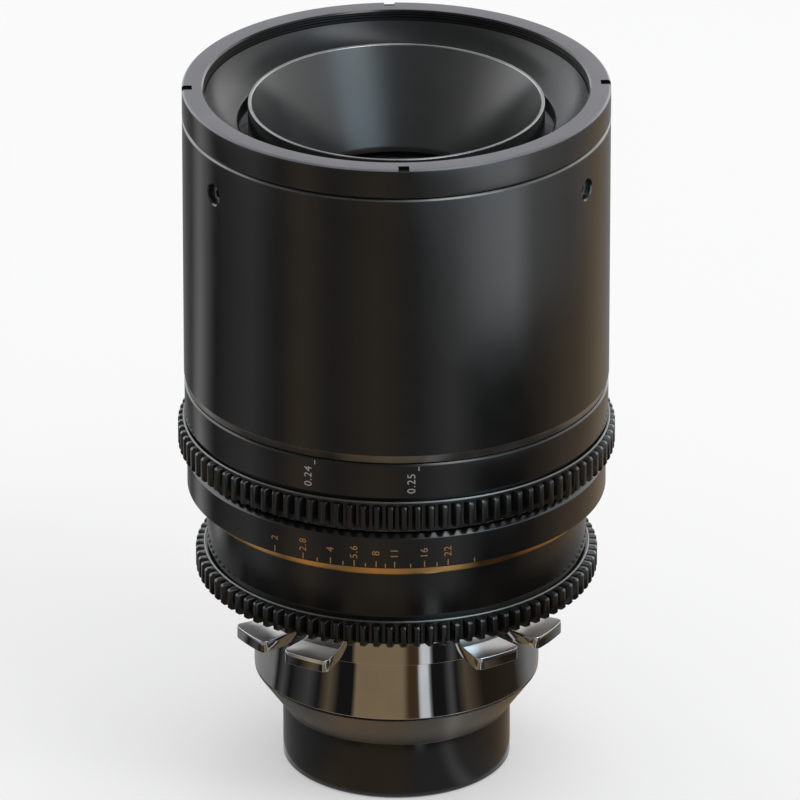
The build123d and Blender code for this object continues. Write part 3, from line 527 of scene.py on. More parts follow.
class Finish:
    """A Principled material with helpers for procedural detail."""

    def __init__(self, name, colour, roughness, metallic=0.0):
        self.material = bpy.data.materials.new(name)
        self.material.use_nodes = True
        self.tree = self.material.node_tree
        self.nodes, self.links = self.tree.nodes, self.tree.links
        self.shader = self.nodes["Principled BSDF"]
        self.shader.inputs["Base Color"].default_value = (*colour, 1)
        self.shader.inputs["Roughness"].default_value = roughness
        self.shader.inputs["Metallic"].default_value = metallic
        self.normal = None
        place = self.nodes.new("ShaderNodeTexCoord")
        self.place = place.outputs["Object"]

    def turned_place(self):
        """Return coordinates that only change along the radius and the axis."""
        split = self.nodes.new("ShaderNodeSeparateXYZ")
        self.links.new(self.place, split.inputs[0])
        joint = self.nodes.new("ShaderNodeCombineXYZ")
        self.links.new(axis_distance(self.tree, split), joint.inputs["X"])
        self.links.new(split.outputs["Z"], joint.inputs["Z"])
        return joint.outputs[0]

    def noise(self, size, place=None, detail=3.0):
        """Return a noise whose features have a size in millimetres."""
        node = self.nodes.new("ShaderNodeTexNoise")
        node.inputs["Scale"].default_value = 1 / (size * MM)
        node.inputs["Detail"].default_value = detail
        self.links.new(self.place if place is None else place, node.inputs["Vector"])
        return node.outputs["Fac"]

    def rough(self, factor, low, high):
        """Vary the roughness between two values."""
        share = ranged(self.tree, factor, *ROUGH_PLACES, low, high)
        self.links.new(share, self.shader.inputs["Roughness"])

    def colour(self, factor, tones):
        """Paint the base colour between two tones."""
        ramp = self.nodes.new("ShaderNodeValToRGB")
        for stop, place, tone in zip(ramp.color_ramp.elements, TONE_PLACES, tones):
            stop.position = place
            stop.color = (*tone, 1)
        self.links.new(factor, ramp.inputs["Fac"])
        self.links.new(ramp.outputs["Color"], self.shader.inputs["Base Color"])

    def bump(self, factor, depth):
        """Raise the surface by a factor times a depth in millimetres."""
        node = self.nodes.new("ShaderNodeBump")
        node.inputs["Strength"].default_value = 1.0
        node.inputs["Distance"].default_value = depth * MM
        self.links.new(factor, node.inputs["Height"])
        if self.normal is not None:
            self.links.new(self.normal, node.inputs["Normal"])
        self.normal = node.outputs["Normal"]
        self.links.new(self.normal, self.shader.inputs["Normal"])


def anodised(name, tones, roughness, grain_depth, line_depth, gloss):
    """Return a satin anodised finish with fine grain over turning lines."""
    finish = Finish(name, tones[0], sum(roughness) / 2)
    finish.shader.inputs["Specular IOR Level"].default_value = gloss
    lines = finish.noise(LINE_SIZE, finish.turned_place(), LINE_DETAIL)
    grain = finish.noise(GRAIN_SIZE)
    cloud = finish.noise(CLOUD_SIZE)
    finish.colour(cloud, tones)
    finish.rough(cloud, *roughness)
    finish.bump(lines, line_depth)
    finish.bump(grain, grain_depth)
    return finish.material


def metal(name, tones, roughness, line_depth):
    """Return a turned metal with lines about the axis."""
    finish = Finish(name, tones[0], sum(roughness) / 2, 1.0)
    lines = finish.noise(METAL_LINE_SIZE, finish.turned_place(), LINE_DETAIL)
    smudge = finish.noise(SMUDGE_SIZE)
    finish.colour(smudge, tones)
    finish.rough(smudge, *roughness)
    finish.bump(lines, line_depth)
    return finish.material


def ink(name, tones, roughness):
    """Return filled engraving paint or plain plastic."""
    finish = Finish(name, tones[0], sum(roughness) / 2)
    spots = finish.noise(SPOT_SIZE)
    finish.colour(spots, tones)
    finish.rough(spots, *roughness)
    finish.bump(spots, SPOT_DEPTH)
    return finish.material


def glass(name):
    """Return optical glass with a thin coating."""
    finish = Finish(name, GLASS_TINT, 0.0)
    finish.shader.inputs["Transmission Weight"].default_value = 1.0
    finish.shader.inputs["IOR"].default_value = GLASS_IOR
    finish.shader.inputs["Thin Film Thickness"].default_value = FILM_THICKNESS
    finish.shader.inputs["Thin Film IOR"].default_value = FILM_IOR
    dust = finish.noise(DUST_SIZE)
    finish.rough(dust, 0.0, DUST_ROUGHNESS)
    return finish.material


def make_materials():
    """Return every material by its name."""
    made = {"coated_glass": glass("coated_glass")}
    for recipe, rows in ((anodised, ANODISED), (metal, METALS), (ink, INKS)):
        for name, row in rows.items():
            made[name] = recipe(name, *row)
    return made


MATERIALS = make_materials()


def dress_frame():
    """Give every CAD node the material of its slot in the record."""
    slots = {row["node"]: row["material_slot"] for row in frame["record"]["subparts"]}
    for name, node in frame["nodes"].items():
        node.data.materials.clear()
        node.data.materials.append(MATERIALS[slots[name]])
        for face in node.data.polygons:
            face.material_index = 0


# Pieces


def front_ring():
    """Ring with the filter thread, its ledge and four rim notches."""
    thread = []
    height = RIM_FRONT - EDGE_CHAMFER
    while height - THREAD_PITCH > FILTER_FLOOR:
        thread.append((FILTER_RADIUS, height, 0))
        thread.append((FILTER_RADIUS + THREAD_DEPTH, height - THREAD_PITCH / 2, 0))
        height -= THREAD_PITCH
    piece = turned(
        "front_ring_piece",
        [
            (LEDGE_BORE, RING_REAR, SOFT),
            (BARREL_BORE - FIT, RING_REAR, SOFT),
            (BARREL_BORE - FIT, BARREL_FRONT, 0),
            (BARREL_RADIUS - RIM_EDGE, BARREL_FRONT, FINE),
            (BARREL_RADIUS, BARREL_FRONT + RIM_EDGE, FINE),
            (BARREL_RADIUS, RIM_FRONT - EDGE_CHAMFER, FINE),
            (BARREL_RADIUS - EDGE_CHAMFER, RIM_FRONT, FINE),
            (FILTER_RADIUS + EDGE_CHAMFER, RIM_FRONT, FINE),
            *thread,
            (FILTER_RADIUS, FILTER_FLOOR, 0),
            (BAFFLE_RADIUS + FIT, FILTER_FLOOR, 0),
            (BAFFLE_RADIUS + FIT, LEDGE_HEIGHT, 0),
            (LEDGE_BORE, LEDGE_HEIGHT, SOFT),
        ],
    )
    cut_with(piece, [notch_cutter(azimuth) for azimuth in NOTCH_AZIMUTHS])
    dress(piece, "fixed_body", "front_ring_black", "front_ring")
    band_material(piece, "rim_face", RIM_FRONT - EDGE_CHAMFER / 2, RIM_FRONT + FINE)
    notch = (RIM_FRONT - NOTCH_HEIGHT - FIT, RIM_FRONT - FIT)
    rim = (FILTER_RADIUS + EDGE_CHAMFER, BARREL_RADIUS - EDGE_CHAMFER)
    # The notch walls and the thread bore take the dull black as painted shade
    band_material(piece, "thread_black", *notch, *rim)
    bore = FILTER_RADIUS + THREAD_DEPTH
    band_material(piece, "thread_black", FILTER_FLOOR, RIM_FRONT - EDGE_CHAMFER, 0, bore)


def notch_cutter(azimuth):
    """A box that cuts one rim notch."""
    work = bmesh.new()
    bmesh.ops.create_cube(work, size=1.0)
    depth = 2 * NOTCH_DEPTH * MM
    height = 2 * NOTCH_HEIGHT * MM
    bmesh.ops.scale(work, vec=(NOTCH_WIDTH * MM, depth, height), verts=work.verts)
    angle = math.radians(azimuth)
    middle = on_circle(BARREL_RADIUS, azimuth, RIM_FRONT)
    for vert in work.verts:
        x, y, z = vert.co
        across = x * math.cos(angle) - y * math.sin(angle)
        along = x * math.sin(angle) + y * math.cos(angle)
        vert.co = Vector((across, along, z)) + middle
    return finish_mesh("notch_cutter", work, smooth=False)


def hole_cutter(azimuth):
    """A turned plug that cuts one countersunk screw hole."""
    work = bmesh.new()
    outward = on_circle(1, azimuth, 0).normalized()
    up = Vector((0, 0, 1))
    sideways = up.cross(outward)
    centre = on_circle(0, azimuth, BARREL_FRONT - GRUB_DROP)
    rings = []
    rows = (
        (BARREL_BORE - PLUG_OVERRUN, GRUB_RADIUS),
        (BARREL_RADIUS - GRUB_CHAMFER, GRUB_RADIUS),
        (BARREL_RADIUS, GRUB_RADIUS + GRUB_CHAMFER),
        (BARREL_RADIUS + PLUG_OVERRUN, GRUB_RADIUS + PLUG_FLARE),
    )
    for reach, radius in rows:
        ring = []
        for index in range(PLUG_SIDES):
            angle = 2 * math.pi * index / PLUG_SIDES
            place = sideways * math.cos(angle) + up * math.sin(angle)
            ring.append(work.verts.new(centre + outward * reach * MM + place * radius * MM))
        rings.append(ring)
    for near, far in zip(rings, rings[1:]):
        for index in range(PLUG_SIDES):
            after = (index + 1) % PLUG_SIDES
            work.faces.new((near[index], near[after], far[after], far[index]))
    work.faces.new(rings[0])
    work.faces.new(rings[-1])
    return finish_mesh("hole_cutter", work)


def front_barrel():
    """Front barrel with three screw holes and bright cut edges."""
    depth, height = BARREL_REAR_CHAMFER
    piece = turned(
        "front_barrel_piece",
        [
            (BARREL_BORE, BARREL_REAR, SOFT),
            (BARREL_RADIUS - depth, BARREL_REAR, FINE),
            (BARREL_RADIUS, BARREL_REAR + height, FINE),
            (BARREL_RADIUS, BARREL_FRONT - EDGE_CHAMFER, FINE),
            (BARREL_RADIUS - EDGE_CHAMFER, BARREL_FRONT, FINE),
            (BARREL_BORE, BARREL_FRONT, SOFT),
        ],
    )
    cut_with(piece, [hole_cutter(azimuth) for azimuth in GRUB_AZIMUTHS])
    dress(piece, "fixed_body", "black_anodised", "front_barrel")
    inner = BARREL_RADIUS - BARREL_BAND
    band_material(piece, "cut_edge", BARREL_FRONT - EDGE_CHAMFER, BARREL_FRONT, inner)
    band_material(piece, "turned_edge", BARREL_REAR, BARREL_REAR + height, inner)


def front_baffle():
    """Dished baffle between the filter bore and the hood."""
    dish = arc_points(
        (DISH_BORE + SOFT, DISH_REAR + SOFT),
        (DISH_SAG, -DISH_SAG),
        (BAFFLE_RADIUS, FILTER_FLOOR),
    )
    back = soften(
        [
            (BAFFLE_RADIUS, FILTER_FLOOR, 0),
            (BAFFLE_RADIUS, LEDGE_HEIGHT, 0),
            (LEDGE_BORE - FIT, LEDGE_HEIGHT, 0),
            (DISH_BORE + BAFFLE_WALL, DISH_REAR - BAFFLE_WALL / 2, SOFT),
            (DISH_BORE + BAFFLE_WALL, BAFFLE_REAR, SOFT),
            (DISH_BORE, BAFFLE_REAR, SOFT),
            (DISH_BORE, DISH_REAR, 0),
        ]
    )
    piece = lathe("front_baffle_piece", [*back[1:], *dish])
    # The dish wears a darker copy of the inner black, as painted shade
    dress(piece, "fixed_body", "inner_black", "front_baffle", look="dish_black")


def hood_cone():
    """Conical hood in front of the first element, open at both ends."""
    piece = turned(
        "hood_cone_piece",
        [
            (HOOD_THROAT, HOOD_REAR, 0),
            (HOOD_RADIUS, HOOD_REAR, SOFT),
            (HOOD_RADIUS, HOOD_FRONT, LIP_ROUND),
            (HOOD_RADIUS - HOOD_LIP, HOOD_FRONT, LIP_ROUND),
            (HOOD_THROAT, HOOD_REAR + HOOD_THROAT_LENGTH, HOOD_THROAT_ROUND),
        ],
    )
    dress(piece, "front_group", "inner_black", "hood_cone")
    band_material(piece, "lip_edge", HOOD_FRONT - LIP_ROUND, HOOD_FRONT + FINE)


def element(name, node, body, sizes):
    """One element with spherical faces and a ground edge."""
    edge_radius, clear_radius, rear, front, rear_vertex, front_vertex = sizes
    rear_face = dome_points(clear_radius, rear, rear_vertex)
    front_face = dome_points(clear_radius, front, front_vertex)
    edge = [Vector((edge_radius, rear)), Vector((edge_radius, front))]
    piece = lathe(name, [*rear_face, *edge, *reversed(front_face)], closed=False)
    dress(piece, body, "coated_glass", node)


def round_edges(work, edges, cut, steps):
    """Round some edges of a bmesh."""
    bmesh.ops.bevel(
        work,
        geom=edges,
        offset=cut * MM,
        segments=steps,
        profile=0.5,
        affect="EDGES",
        clamp_overlap=True,
    )


def gear(name, teeth, rear, front, bore, extra=()):
    """A ring gear with chamfered, softly rounded teeth."""
    tip = (teeth + 2) * GEAR_MODULE / 2
    root = tip - TOOTH_DEPTH
    pitch = 360 / teeth
    outline = []
    for index in range(teeth):
        for radius, share in (
            (root, -TOOTH_ROOT_SHARE),
            (tip, -TOOTH_TIP_SHARE),
            (tip, TOOTH_TIP_SHARE),
            (root, TOOTH_ROOT_SHARE),
        ):
            outline.append((radius, (index + share / 2) * pitch))
    work = bmesh.new()
    rows = []
    for height, limit in (
        (rear, bore),
        (rear, tip - TOOTH_CHAMFER),
        (rear + TOOTH_CHAMFER, tip),
        (front - TOOTH_CHAMFER, tip),
        (front, tip - TOOTH_CHAMFER),
        (front, bore),
    ):
        rows.append(
            [
                work.verts.new(on_circle(min(radius, limit), azimuth, height))
                for radius, azimuth in outline
            ]
        )
    count = len(outline)
    for near, far in zip(rows, [*rows[1:], rows[0]]):
        for index in range(count):
            after = (index + 1) % count
            work.faces.new((near[index], near[after], far[after], far[index]))
    bmesh.ops.recalc_face_normals(work, faces=work.faces)
    inner = (bore + GEAR_BORE_MARGIN) * MM
    edges = [
        edge
        for edge in work.edges
        if edge.calc_face_angle(0) > math.radians(TOOTH_EDGE_ANGLE)
        and min(math.hypot(vert.co.x, vert.co.y) for vert in edge.verts) > inner
    ]
    round_edges(work, edges, TOOTH_ROUND, 2)
    piece = finish_mesh(name, work)
    if extra:
        piece = joined(name, [piece, *extra])
    return piece


def focus_parts():
    """Focus ring and the gear that sits on it."""
    inner, outer, bottom = STOP_GROOVE
    piece = turned(
        "focus_ring_piece",
        [
            (FOCUS_BORE, FOCUS_REAR, FINE),
            (inner, FOCUS_REAR, 0),
            (inner, bottom, 0),
            (outer, bottom, 0),
            (outer, FOCUS_REAR, 0),
            (FOCUS_SEAT, FOCUS_REAR, FINE),
            (FOCUS_SEAT, FOCUS_RIM_FRONT, 0),
            (FOCUS_GROOVE, FOCUS_RIM_FRONT, 0),
            (FOCUS_GROOVE, FOCUS_BAND_REAR, 0),
            (FOCUS_BAND_RADIUS, FOCUS_BAND_REAR, FINE),
            (FOCUS_BAND_RADIUS, FOCUS_BAND_FRONT - FOCUS_BAND_CHAMFER, FINE),
            (FOCUS_BAND_RADIUS - FOCUS_BAND_CHAMFER, FOCUS_BAND_FRONT, FINE),
            (FOCUS_SKIRT, FOCUS_BAND_FRONT, 0),
            (FOCUS_SKIRT, FOCUS_SKIRT_FRONT, SOFT),
            (FOCUS_BORE, FOCUS_SKIRT_FRONT, SOFT),
        ],
    )
    dress(piece, "focus_body", "black_anodised", "focus_ring")
    rim = turned(
        "focus_rim_piece",
        [
            (FOCUS_GEAR_BORE, FOCUS_GEAR_FRONT, 0),
            (FOCUS_RIM_RADIUS, FOCUS_GEAR_FRONT, FINE),
            (FOCUS_RIM_RADIUS, FOCUS_RIM_FRONT, RIM_ROUND),
            (FOCUS_GEAR_BORE, FOCUS_RIM_FRONT, 0),
        ],
    )
    wheel = gear(
        "focus_gear_piece",
        FOCUS_TEETH,
        FOCUS_GEAR_REAR,
        FOCUS_GEAR_FRONT,
        FOCUS_GEAR_BORE,
        [rim],
    )
    dress(wheel, "focus_body", "gear_black", "focus_gear")
    low, inner = FOCUS_RIM_FRONT - RIM_ROUND, FOCUS_SEAT + RIM_BAND
    band_material(wheel, "cut_edge", low, FOCUS_RIM_FRONT, inner)


def iris_parts():
    """Iris ring, its gear and the gold index ring."""
    piece = turned(
        "iris_ring_piece",
        [
            (IRIS_BORE, IRIS_REAR, SOFT),
            (IRIS_SEAT, IRIS_REAR, 0),
            (IRIS_SEAT, IRIS_GEAR_FRONT, 0),
            (IRIS_RIM_RADIUS, IRIS_GEAR_FRONT, FINE),
            (IRIS_RIM_RADIUS, IRIS_RIM_FRONT, RIM_ROUND),
            (IRIS_GROOVE, IRIS_RIM_FRONT, 0),
            (IRIS_GROOVE, IRIS_NECK_REAR, 0),
            (IRIS_NECK_RADIUS, IRIS_NECK_REAR, FINE),
            (IRIS_NECK_RADIUS, IRIS_NECK_FRONT, 0),
            (GOLD_SEAT, IRIS_NECK_FRONT, 0),
            (GOLD_SEAT, IRIS_FRONT, 0),
            (IRIS_BORE, IRIS_FRONT, SOFT),
        ],
    )
    dress(piece, "iris_body", "black_anodised", "iris_ring")
    low, inner = IRIS_RIM_FRONT - RIM_ROUND, IRIS_GROOVE + RIM_BAND
    band_material(piece, "cut_edge", low, IRIS_RIM_FRONT, inner)
    wheel = gear("iris_gear_piece", IRIS_TEETH, IRIS_REAR, IRIS_GEAR_FRONT, IRIS_GEAR_BORE)
    dress(wheel, "iris_body", "gear_black", "iris_gear")
    gold = turned(
        "gold_ring_piece",
        [
            (GOLD_BORE, IRIS_NECK_FRONT, 0),
            (GOLD_RADIUS, IRIS_NECK_FRONT, GOLD_CHAMFER),
            (GOLD_RADIUS, IRIS_FRONT, GOLD_CHAMFER),
            (GOLD_BORE, IRIS_FRONT, 0),
        ],
    )
    dress(gold, "iris_body", "gold_anodised", "gold_ring")


def mid_collar():
    """Fixed collar that carries the stop scale."""
    piece = turned(
        "mid_collar_piece",
        [
            (COLLAR_BORE, COLLAR_REAR, 0),
            (COLLAR_RADIUS - COLLAR_EDGE, COLLAR_REAR, FINE),
            (COLLAR_RADIUS, COLLAR_REAR + COLLAR_EDGE, FINE),
            (COLLAR_RADIUS, COLLAR_FRONT - COLLAR_CHAMFER, FINE),
            (COLLAR_RADIUS - COLLAR_CHAMFER, COLLAR_FRONT, FINE),
            (COLLAR_BORE, COLLAR_FRONT, 0),
        ],
    )
    dress(piece, "fixed_body", "black_anodised", "mid_collar")


def lug(azimuth, side):
    """Half of one mount lug, on one side of its slot."""
    near = azimuth + LUG_SLOT_HALF_ANGLE * side
    far = azimuth + LUG_HALF_ANGLE * side
    corner = math.degrees(LUG_CORNER / LUG_RADIUS) * side
    rounding = []
    for step in range(LUG_CORNER_STEPS + 1):
        turn = math.radians(90 * step / LUG_CORNER_STEPS)
        reach = LUG_RADIUS - LUG_CORNER * (1 - math.sin(turn))
        rounding.append((reach, corner * (1 - math.cos(turn))))
    outline = [(LUG_FOOT, near), *((reach, near + part) for reach, part in rounding)]
    span = far - near - 2 * corner
    for step in range(1, LUG_RIM_STEPS):
        share = step / LUG_RIM_STEPS
        outline.append((LUG_RADIUS, near + corner + span * share))
    outline.extend((reach, far - part) for reach, part in reversed(rounding))
    for step in range(LUG_FOOT_STEPS):
        outline.append((LUG_FOOT, far + (near - far) * step / LUG_FOOT_STEPS))
    work = bmesh.new()
    base = work.faces.new([work.verts.new(on_circle(r, a, 0)) for r, a in outline])
    raised = bmesh.ops.extrude_face_region(work, geom=[base])
    top = [item for item in raised["geom"] if isinstance(item, bmesh.types.BMVert)]
    bmesh.ops.translate(work, vec=(0, 0, LUG_FRONT * MM), verts=top)
    bmesh.ops.recalc_face_normals(work, faces=work.faces)
    edges = [
        edge
        for edge in work.edges
        if edge.calc_face_angle(0) > math.radians(LUG_EDGE_ANGLE)
        and abs(edge.verts[0].co.z - edge.verts[1].co.z) < LUG_EDGE_ROUND * MM
    ]
    round_edges(work, edges, LUG_EDGE_ROUND, 3)
    return finish_mesh("lug", work)


def lens_mount():
    """Spigot, neck, flange and four slotted lugs."""
    body = turned(
        "mount_body",
        [
            (WEB_BORE, 0, SOFT),
            (SPIGOT_BORE, 0, 0),
            (SPIGOT_BORE, SPIGOT_REAR, SOFT),
            (SPIGOT_RADIUS - SPIGOT_CHAMFER, SPIGOT_REAR, FINE),
            (SPIGOT_RADIUS, SPIGOT_REAR + SPIGOT_CHAMFER, FINE),
            (SPIGOT_RADIUS, 0, 0),
            (NECK_RADIUS, 0, FINE),
            (NECK_RADIUS, MOUNT_FLANGE_REAR, FINE),
            (MOUNT_FLANGE_RADIUS, MOUNT_FLANGE_REAR, FINE),
            (MOUNT_FLANGE_RADIUS, MOUNT_FRONT, FINE),
            (NECK_BORE, MOUNT_FRONT, SOFT),
            (NECK_BORE, WEB_FRONT, 0),
            (WEB_BORE, WEB_FRONT, SOFT),
        ],
    )
    lugs = [lug(azimuth, side) for azimuth in LUG_AZIMUTHS for side in (-1, 1)]
    piece = joined("lens_mount_piece", [body, *lugs])
    dress(piece, "fixed_body", "mount_chrome", "pl_mount")
    low, high = LUG_FRONT - LUG_BAND, LUG_FRONT + LUG_BAND
    band_material(piece, "ground_face", low, high, NECK_RADIUS)


def rear_parts():
    """Rear cone and the rear tube with its black tail."""
    cone = turned(
        "rear_cone_piece",
        [
            (TUBE_SEAT, CONE_REAR, 0),
            (TAIL_RADIUS, CONE_REAR, FINE),
            (SPIGOT_RADIUS, SPIGOT_REAR, CONE_ROUND),
            (SPIGOT_BORE - FIT, SPIGOT_REAR, 0),
            (SPIGOT_BORE - FIT, CONE_THREAD_FRONT, SOFT),
            (CONE_INNER, CONE_THREAD_FRONT, SOFT),
            (CONE_INNER, SPIGOT_REAR, 0),
            (TUBE_SEAT, (CONE_REAR + SPIGOT_REAR) / 2, 0),
        ],
    )
    dress(cone, "fixed_body", "cone_steel", "rear_cone")
    tube = turned(
        "rear_tube_piece",
        [
            (TUBE_BORE, TAIL_REAR, SOFT),
            (TAIL_RADIUS - TAIL_CHAMFER, TAIL_REAR, FINE),
            (TAIL_RADIUS, TAIL_REAR + TAIL_CHAMFER, FINE),
            (TAIL_RADIUS, CONE_REAR, FINE),
            (TUBE_RADIUS, CONE_REAR, 0),
            (TUBE_RADIUS, TUBE_FRONT, SOFT),
            (TUBE_LIP_BORE, TUBE_FRONT, SOFT),
            (TUBE_LIP_BORE, TUBE_LIP_REAR, 0),
            (TUBE_BORE, TUBE_LIP_REAR, 0),
        ],
    )
    dress(tube, "fixed_body", "tail_black", "rear_tube")


# Scales


def text_mesh(text, size):
    """Return a flat bmesh of a text in millimetres, centred on the origin."""
    curve = bpy.data.curves.new("text", "FONT")
    curve.body = text
    curve.size = size
    curve.space_character = TEXT_SPACING
    curve.align_x = "CENTER"
    curve.align_y = "CENTER"
    holder = bpy.data.objects.new("text", curve)
    bpy.context.scene.collection.objects.link(holder)
    graph = bpy.context.evaluated_depsgraph_get()
    mesh = bpy.data.meshes.new_from_object(holder.evaluated_get(graph))
    work = bmesh.new()
    work.from_mesh(mesh)
    bpy.data.objects.remove(holder)
    bpy.data.meshes.remove(mesh)
    return work


def mark_mesh(low, high, height):
    """Return a flat bmesh of a short line along the axis, placed from a height."""
    work = bmesh.new()
    half = MARK_WIDTH / 2
    corners = ((low, -half), (high, -half), (high, half), (low, half))
    work.faces.new([work.verts.new((x - height, y, 0)) for x, y in corners])
    return work


def wrap(work, radius, azimuth, height):
    """Bend a flat drawing about the axis so that it reads upwards, and thicken it."""
    reach = max(abs(vert.co.y) for vert in work.verts)
    steps = math.ceil(reach / INK_STEP)
    for step in range(-steps, steps + 1):
        geometry = work.verts[:] + work.edges[:] + work.faces[:]
        bmesh.ops.bisect_plane(
            work, geom=geometry, plane_co=(0, step * INK_STEP, 0), plane_no=(0, 1, 0)
        )
    raised = bmesh.ops.extrude_face_region(work, geom=work.faces[:])
    for item in raised["geom"]:
        if isinstance(item, bmesh.types.BMVert):
            item.co.z = INK_THICKNESS
    for vert in work.verts:
        along, up, lift = vert.co
        place = radius + INK_LIFT + lift
        vert.co = on_circle(place, azimuth - math.degrees(up / radius), height + along)


def scale_ring(name, rows, radius, text_row, mark, short_mark):
    """Return the numbers and marks of a scale as one piece."""
    size, height, shift = text_row
    total = bmesh.new()
    for text, azimuth in rows:
        drawings = [(mark_mesh(*(mark if text else short_mark), height), azimuth)]
        if text:
            drawings.insert(0, (text_mesh(text, size), azimuth + shift))
        for work, place in drawings:
            wrap(work, radius, place, height)
            mesh = bpy.data.meshes.new("drawing")
            work.to_mesh(mesh)
            work.free()
            total.from_mesh(mesh)
            bpy.data.meshes.remove(mesh)
    return finish_mesh(name, total, smooth=False)


def scales():
    """Focus distances on the focus band and stops on the collar."""
    band = (FOCUS_BAND_RADIUS, FOCUS_TEXT, FOCUS_MARK, FOCUS_MARK)
    focus = scale_ring("focus_scale", FOCUS_SCALE, *band)
    dress(focus, "focus_body", "glide_plastic", look="focus_ink")
    collar = (COLLAR_RADIUS, STOP_TEXT, STOP_MARK, STOP_SHORT_MARK)
    stops = scale_ring("stop_scale", STOP_SCALE, *collar)
    dress(stops, "fixed_body", "gold_anodised", look="stop_ink")


# Studio

# Strength of the world on surfaces, and of the floor's own glow where it is seen
WORLD_LEVEL = 0.8
FLOOR_GLOW = 0.28
FLOOR_SIZE = 6000.0
FLOOR_SQUARES = 8
FLOOR_TONES = ((0.665, 0.665, 0.67), (0.675, 0.675, 0.675))
FLOOR_CLOUD_SIZE = 400.0
FLOOR_ROUGHNESS = 0.85
FLOOR_GLOSS = 0.1

# Bowl and lid of cards
SURROUND_RADIUS = 900.0
SURROUND_HEIGHT = 800.0
SURROUND_BORE = 22.5
SURROUND_LIFT = 0.5
SURROUND_SEGMENTS = 96

# Lamps: azimuth, elevation, distance, width, height, power and strength of their gloss
LAMPS = {
    "left_strip": (-128, 30, 1300, 180, 900, 1.0, 1.0),
    "right_panel": (58, 38, 1300, 420, 700, 1.6, 1.0),
    "top_panel": (150, 68, 1500, 900, 700, 1.6, 0.3),
    "edge_glint": (41, 55, 1300, 400, 200, 1.3, 1.0),
    "glass_glint": (186, 64, 1500, 140, 120, 0.4, 1.0),
}

# Tints of the cards that polished faces see round the lens
PLAIN = (1.0, 1.0, 1.0)
COOL = (0.93, 0.98, 1.0)
SLATE = (0.68, 0.88, 1.0)
WARM = (1.0, 0.76, 0.52)
TAN = (1.0, 0.73, 0.44)
UMBER = (1.0, 0.6, 0.32)

# Cards by azimuth from the camera's side, each with its tint and level. One blends into
# the next. The cone and tail see the first set, then the spigot, the rings and lower
# barrel, the upper barrel and the hood, and faces that look up see the last.
FOOT_CARDS = (
    (-180, PLAIN, 0.3),
    (-60, PLAIN, 0.2),
    (-36, WARM, 0.4),
    (4, WARM, 0.4),
    (12, PLAIN, 0.3),
    (32, PLAIN, 0.3),
    (40, PLAIN, 0.8),
    (48, PLAIN, 0.3),
    (80, WARM, 0.3),
    (130, WARM, 0.4),
    (180, PLAIN, 0.3),
)
SPIGOT_CARDS = (
    (-180, PLAIN, 0.4),
    (-98, PLAIN, 0.2),
    (-93, PLAIN, 0.01),
    (-86, PLAIN, 0.08),
    (-79, PLAIN, 0.01),
    (-62, PLAIN, 0.06),
    (-54, PLAIN, 0.01),
    (-46, WARM, 0.12),
    (-39, PLAIN, 0.01),
    (-29, PLAIN, 0.01),
    (-27, TAN, 0.24),
    (4, TAN, 0.24),
    (8, UMBER, 0.06),
    (14, UMBER, 0.06),
    (16, COOL, 0.75),
    (21, COOL, 0.75),
    (23, PLAIN, 0.01),
    (32, PLAIN, 0.01),
    (37, PLAIN, 0.08),
    (41, PLAIN, 0.01),
    (48, WARM, 0.1),
    (60, WARM, 0.02),
    (92, WARM, 0.03),
    (110, PLAIN, 0.2),
    (180, PLAIN, 0.4),
)
LEFT_CARDS = (
    (-180, PLAIN, 0.4),
    (-136, PLAIN, 0.1),
    (-124, PLAIN, 0.75),
    (-108, PLAIN, 0.05),
    (-78, PLAIN, 0.4),
    (-62, PLAIN, 0.15),
    (-48, WARM, 0.5),
    (-32, PLAIN, 0.18),
    (-10, WARM, 0.42),
    (10, PLAIN, 0.22),
)
SIDE_CARDS = (
    *LEFT_CARDS,
    (28, PLAIN, 0.5),
    (44, PLAIN, 0.04),
    (64, PLAIN, 0.04),
    (92, WARM, 0.4),
    (130, WARM, 0.5),
    (156, PLAIN, 0.3),
    (180, PLAIN, 0.4),
)
BARREL_CARDS = (
    *LEFT_CARDS,
    (28, PLAIN, 0.7),
    (46, COOL, 2.0),
    (62, COOL, 2.4),
    (74, PLAIN, 0.9),
    (98, PLAIN, 0.5),
    (130, WARM, 0.5),
    (156, PLAIN, 0.3),
    (180, PLAIN, 0.4),
)
WALL_CARDS = (
    (-180, PLAIN, 0.8),
    (-150, COOL, 2.2),
    (-105, PLAIN, 2.6),
    (-70, PLAIN, 0.7),
    (-30, PLAIN, 0.25),
    (4, PLAIN, 0.3),
    (26, SLATE, 3.2),
    (52, SLATE, 3.5),
    (64, PLAIN, 1.4),
    (110, PLAIN, 1.8),
    (150, PLAIN, 2.6),
    (180, PLAIN, 0.8),
)
TOP_CARDS = (
    (-180, PLAIN, 0.6),
    (-60, PLAIN, 0.2),
    (20, PLAIN, 0.2),
    (32, COOL, 5.0),
    (52, COOL, 5.0),
    (62, SLATE, 0.7),
    (92, SLATE, 0.7),
    (112, PLAIN, 0.3),
    (180, PLAIN, 0.6),
)

# Outside the foot's cards: the distances from the axis, in metres, between which each
# further set fades in
ZONES = (
    (0.047, 0.053, SPIGOT_CARDS),
    (0.112, 0.124, SIDE_CARDS),
    (0.256, 0.298, BARREL_CARDS),
    (0.42, 0.6, WALL_CARDS),
)


def card_ramp(tree, factor, cards):
    """Return a colour ramp over the azimuth."""
    node = tree.nodes.new("ShaderNodeValToRGB")
    elements = node.color_ramp.elements
    elements.remove(elements[-1])
    for index, (azimuth, tint, level) in enumerate(cards):
        place = (azimuth + 180) / 360
        stop = elements[0] if index == 0 else elements.new(place)
        stop.position = place
        stop.color = (*(part * level for part in tint), 1)
    tree.links.new(factor, node.inputs["Fac"])
    return node.outputs["Color"]


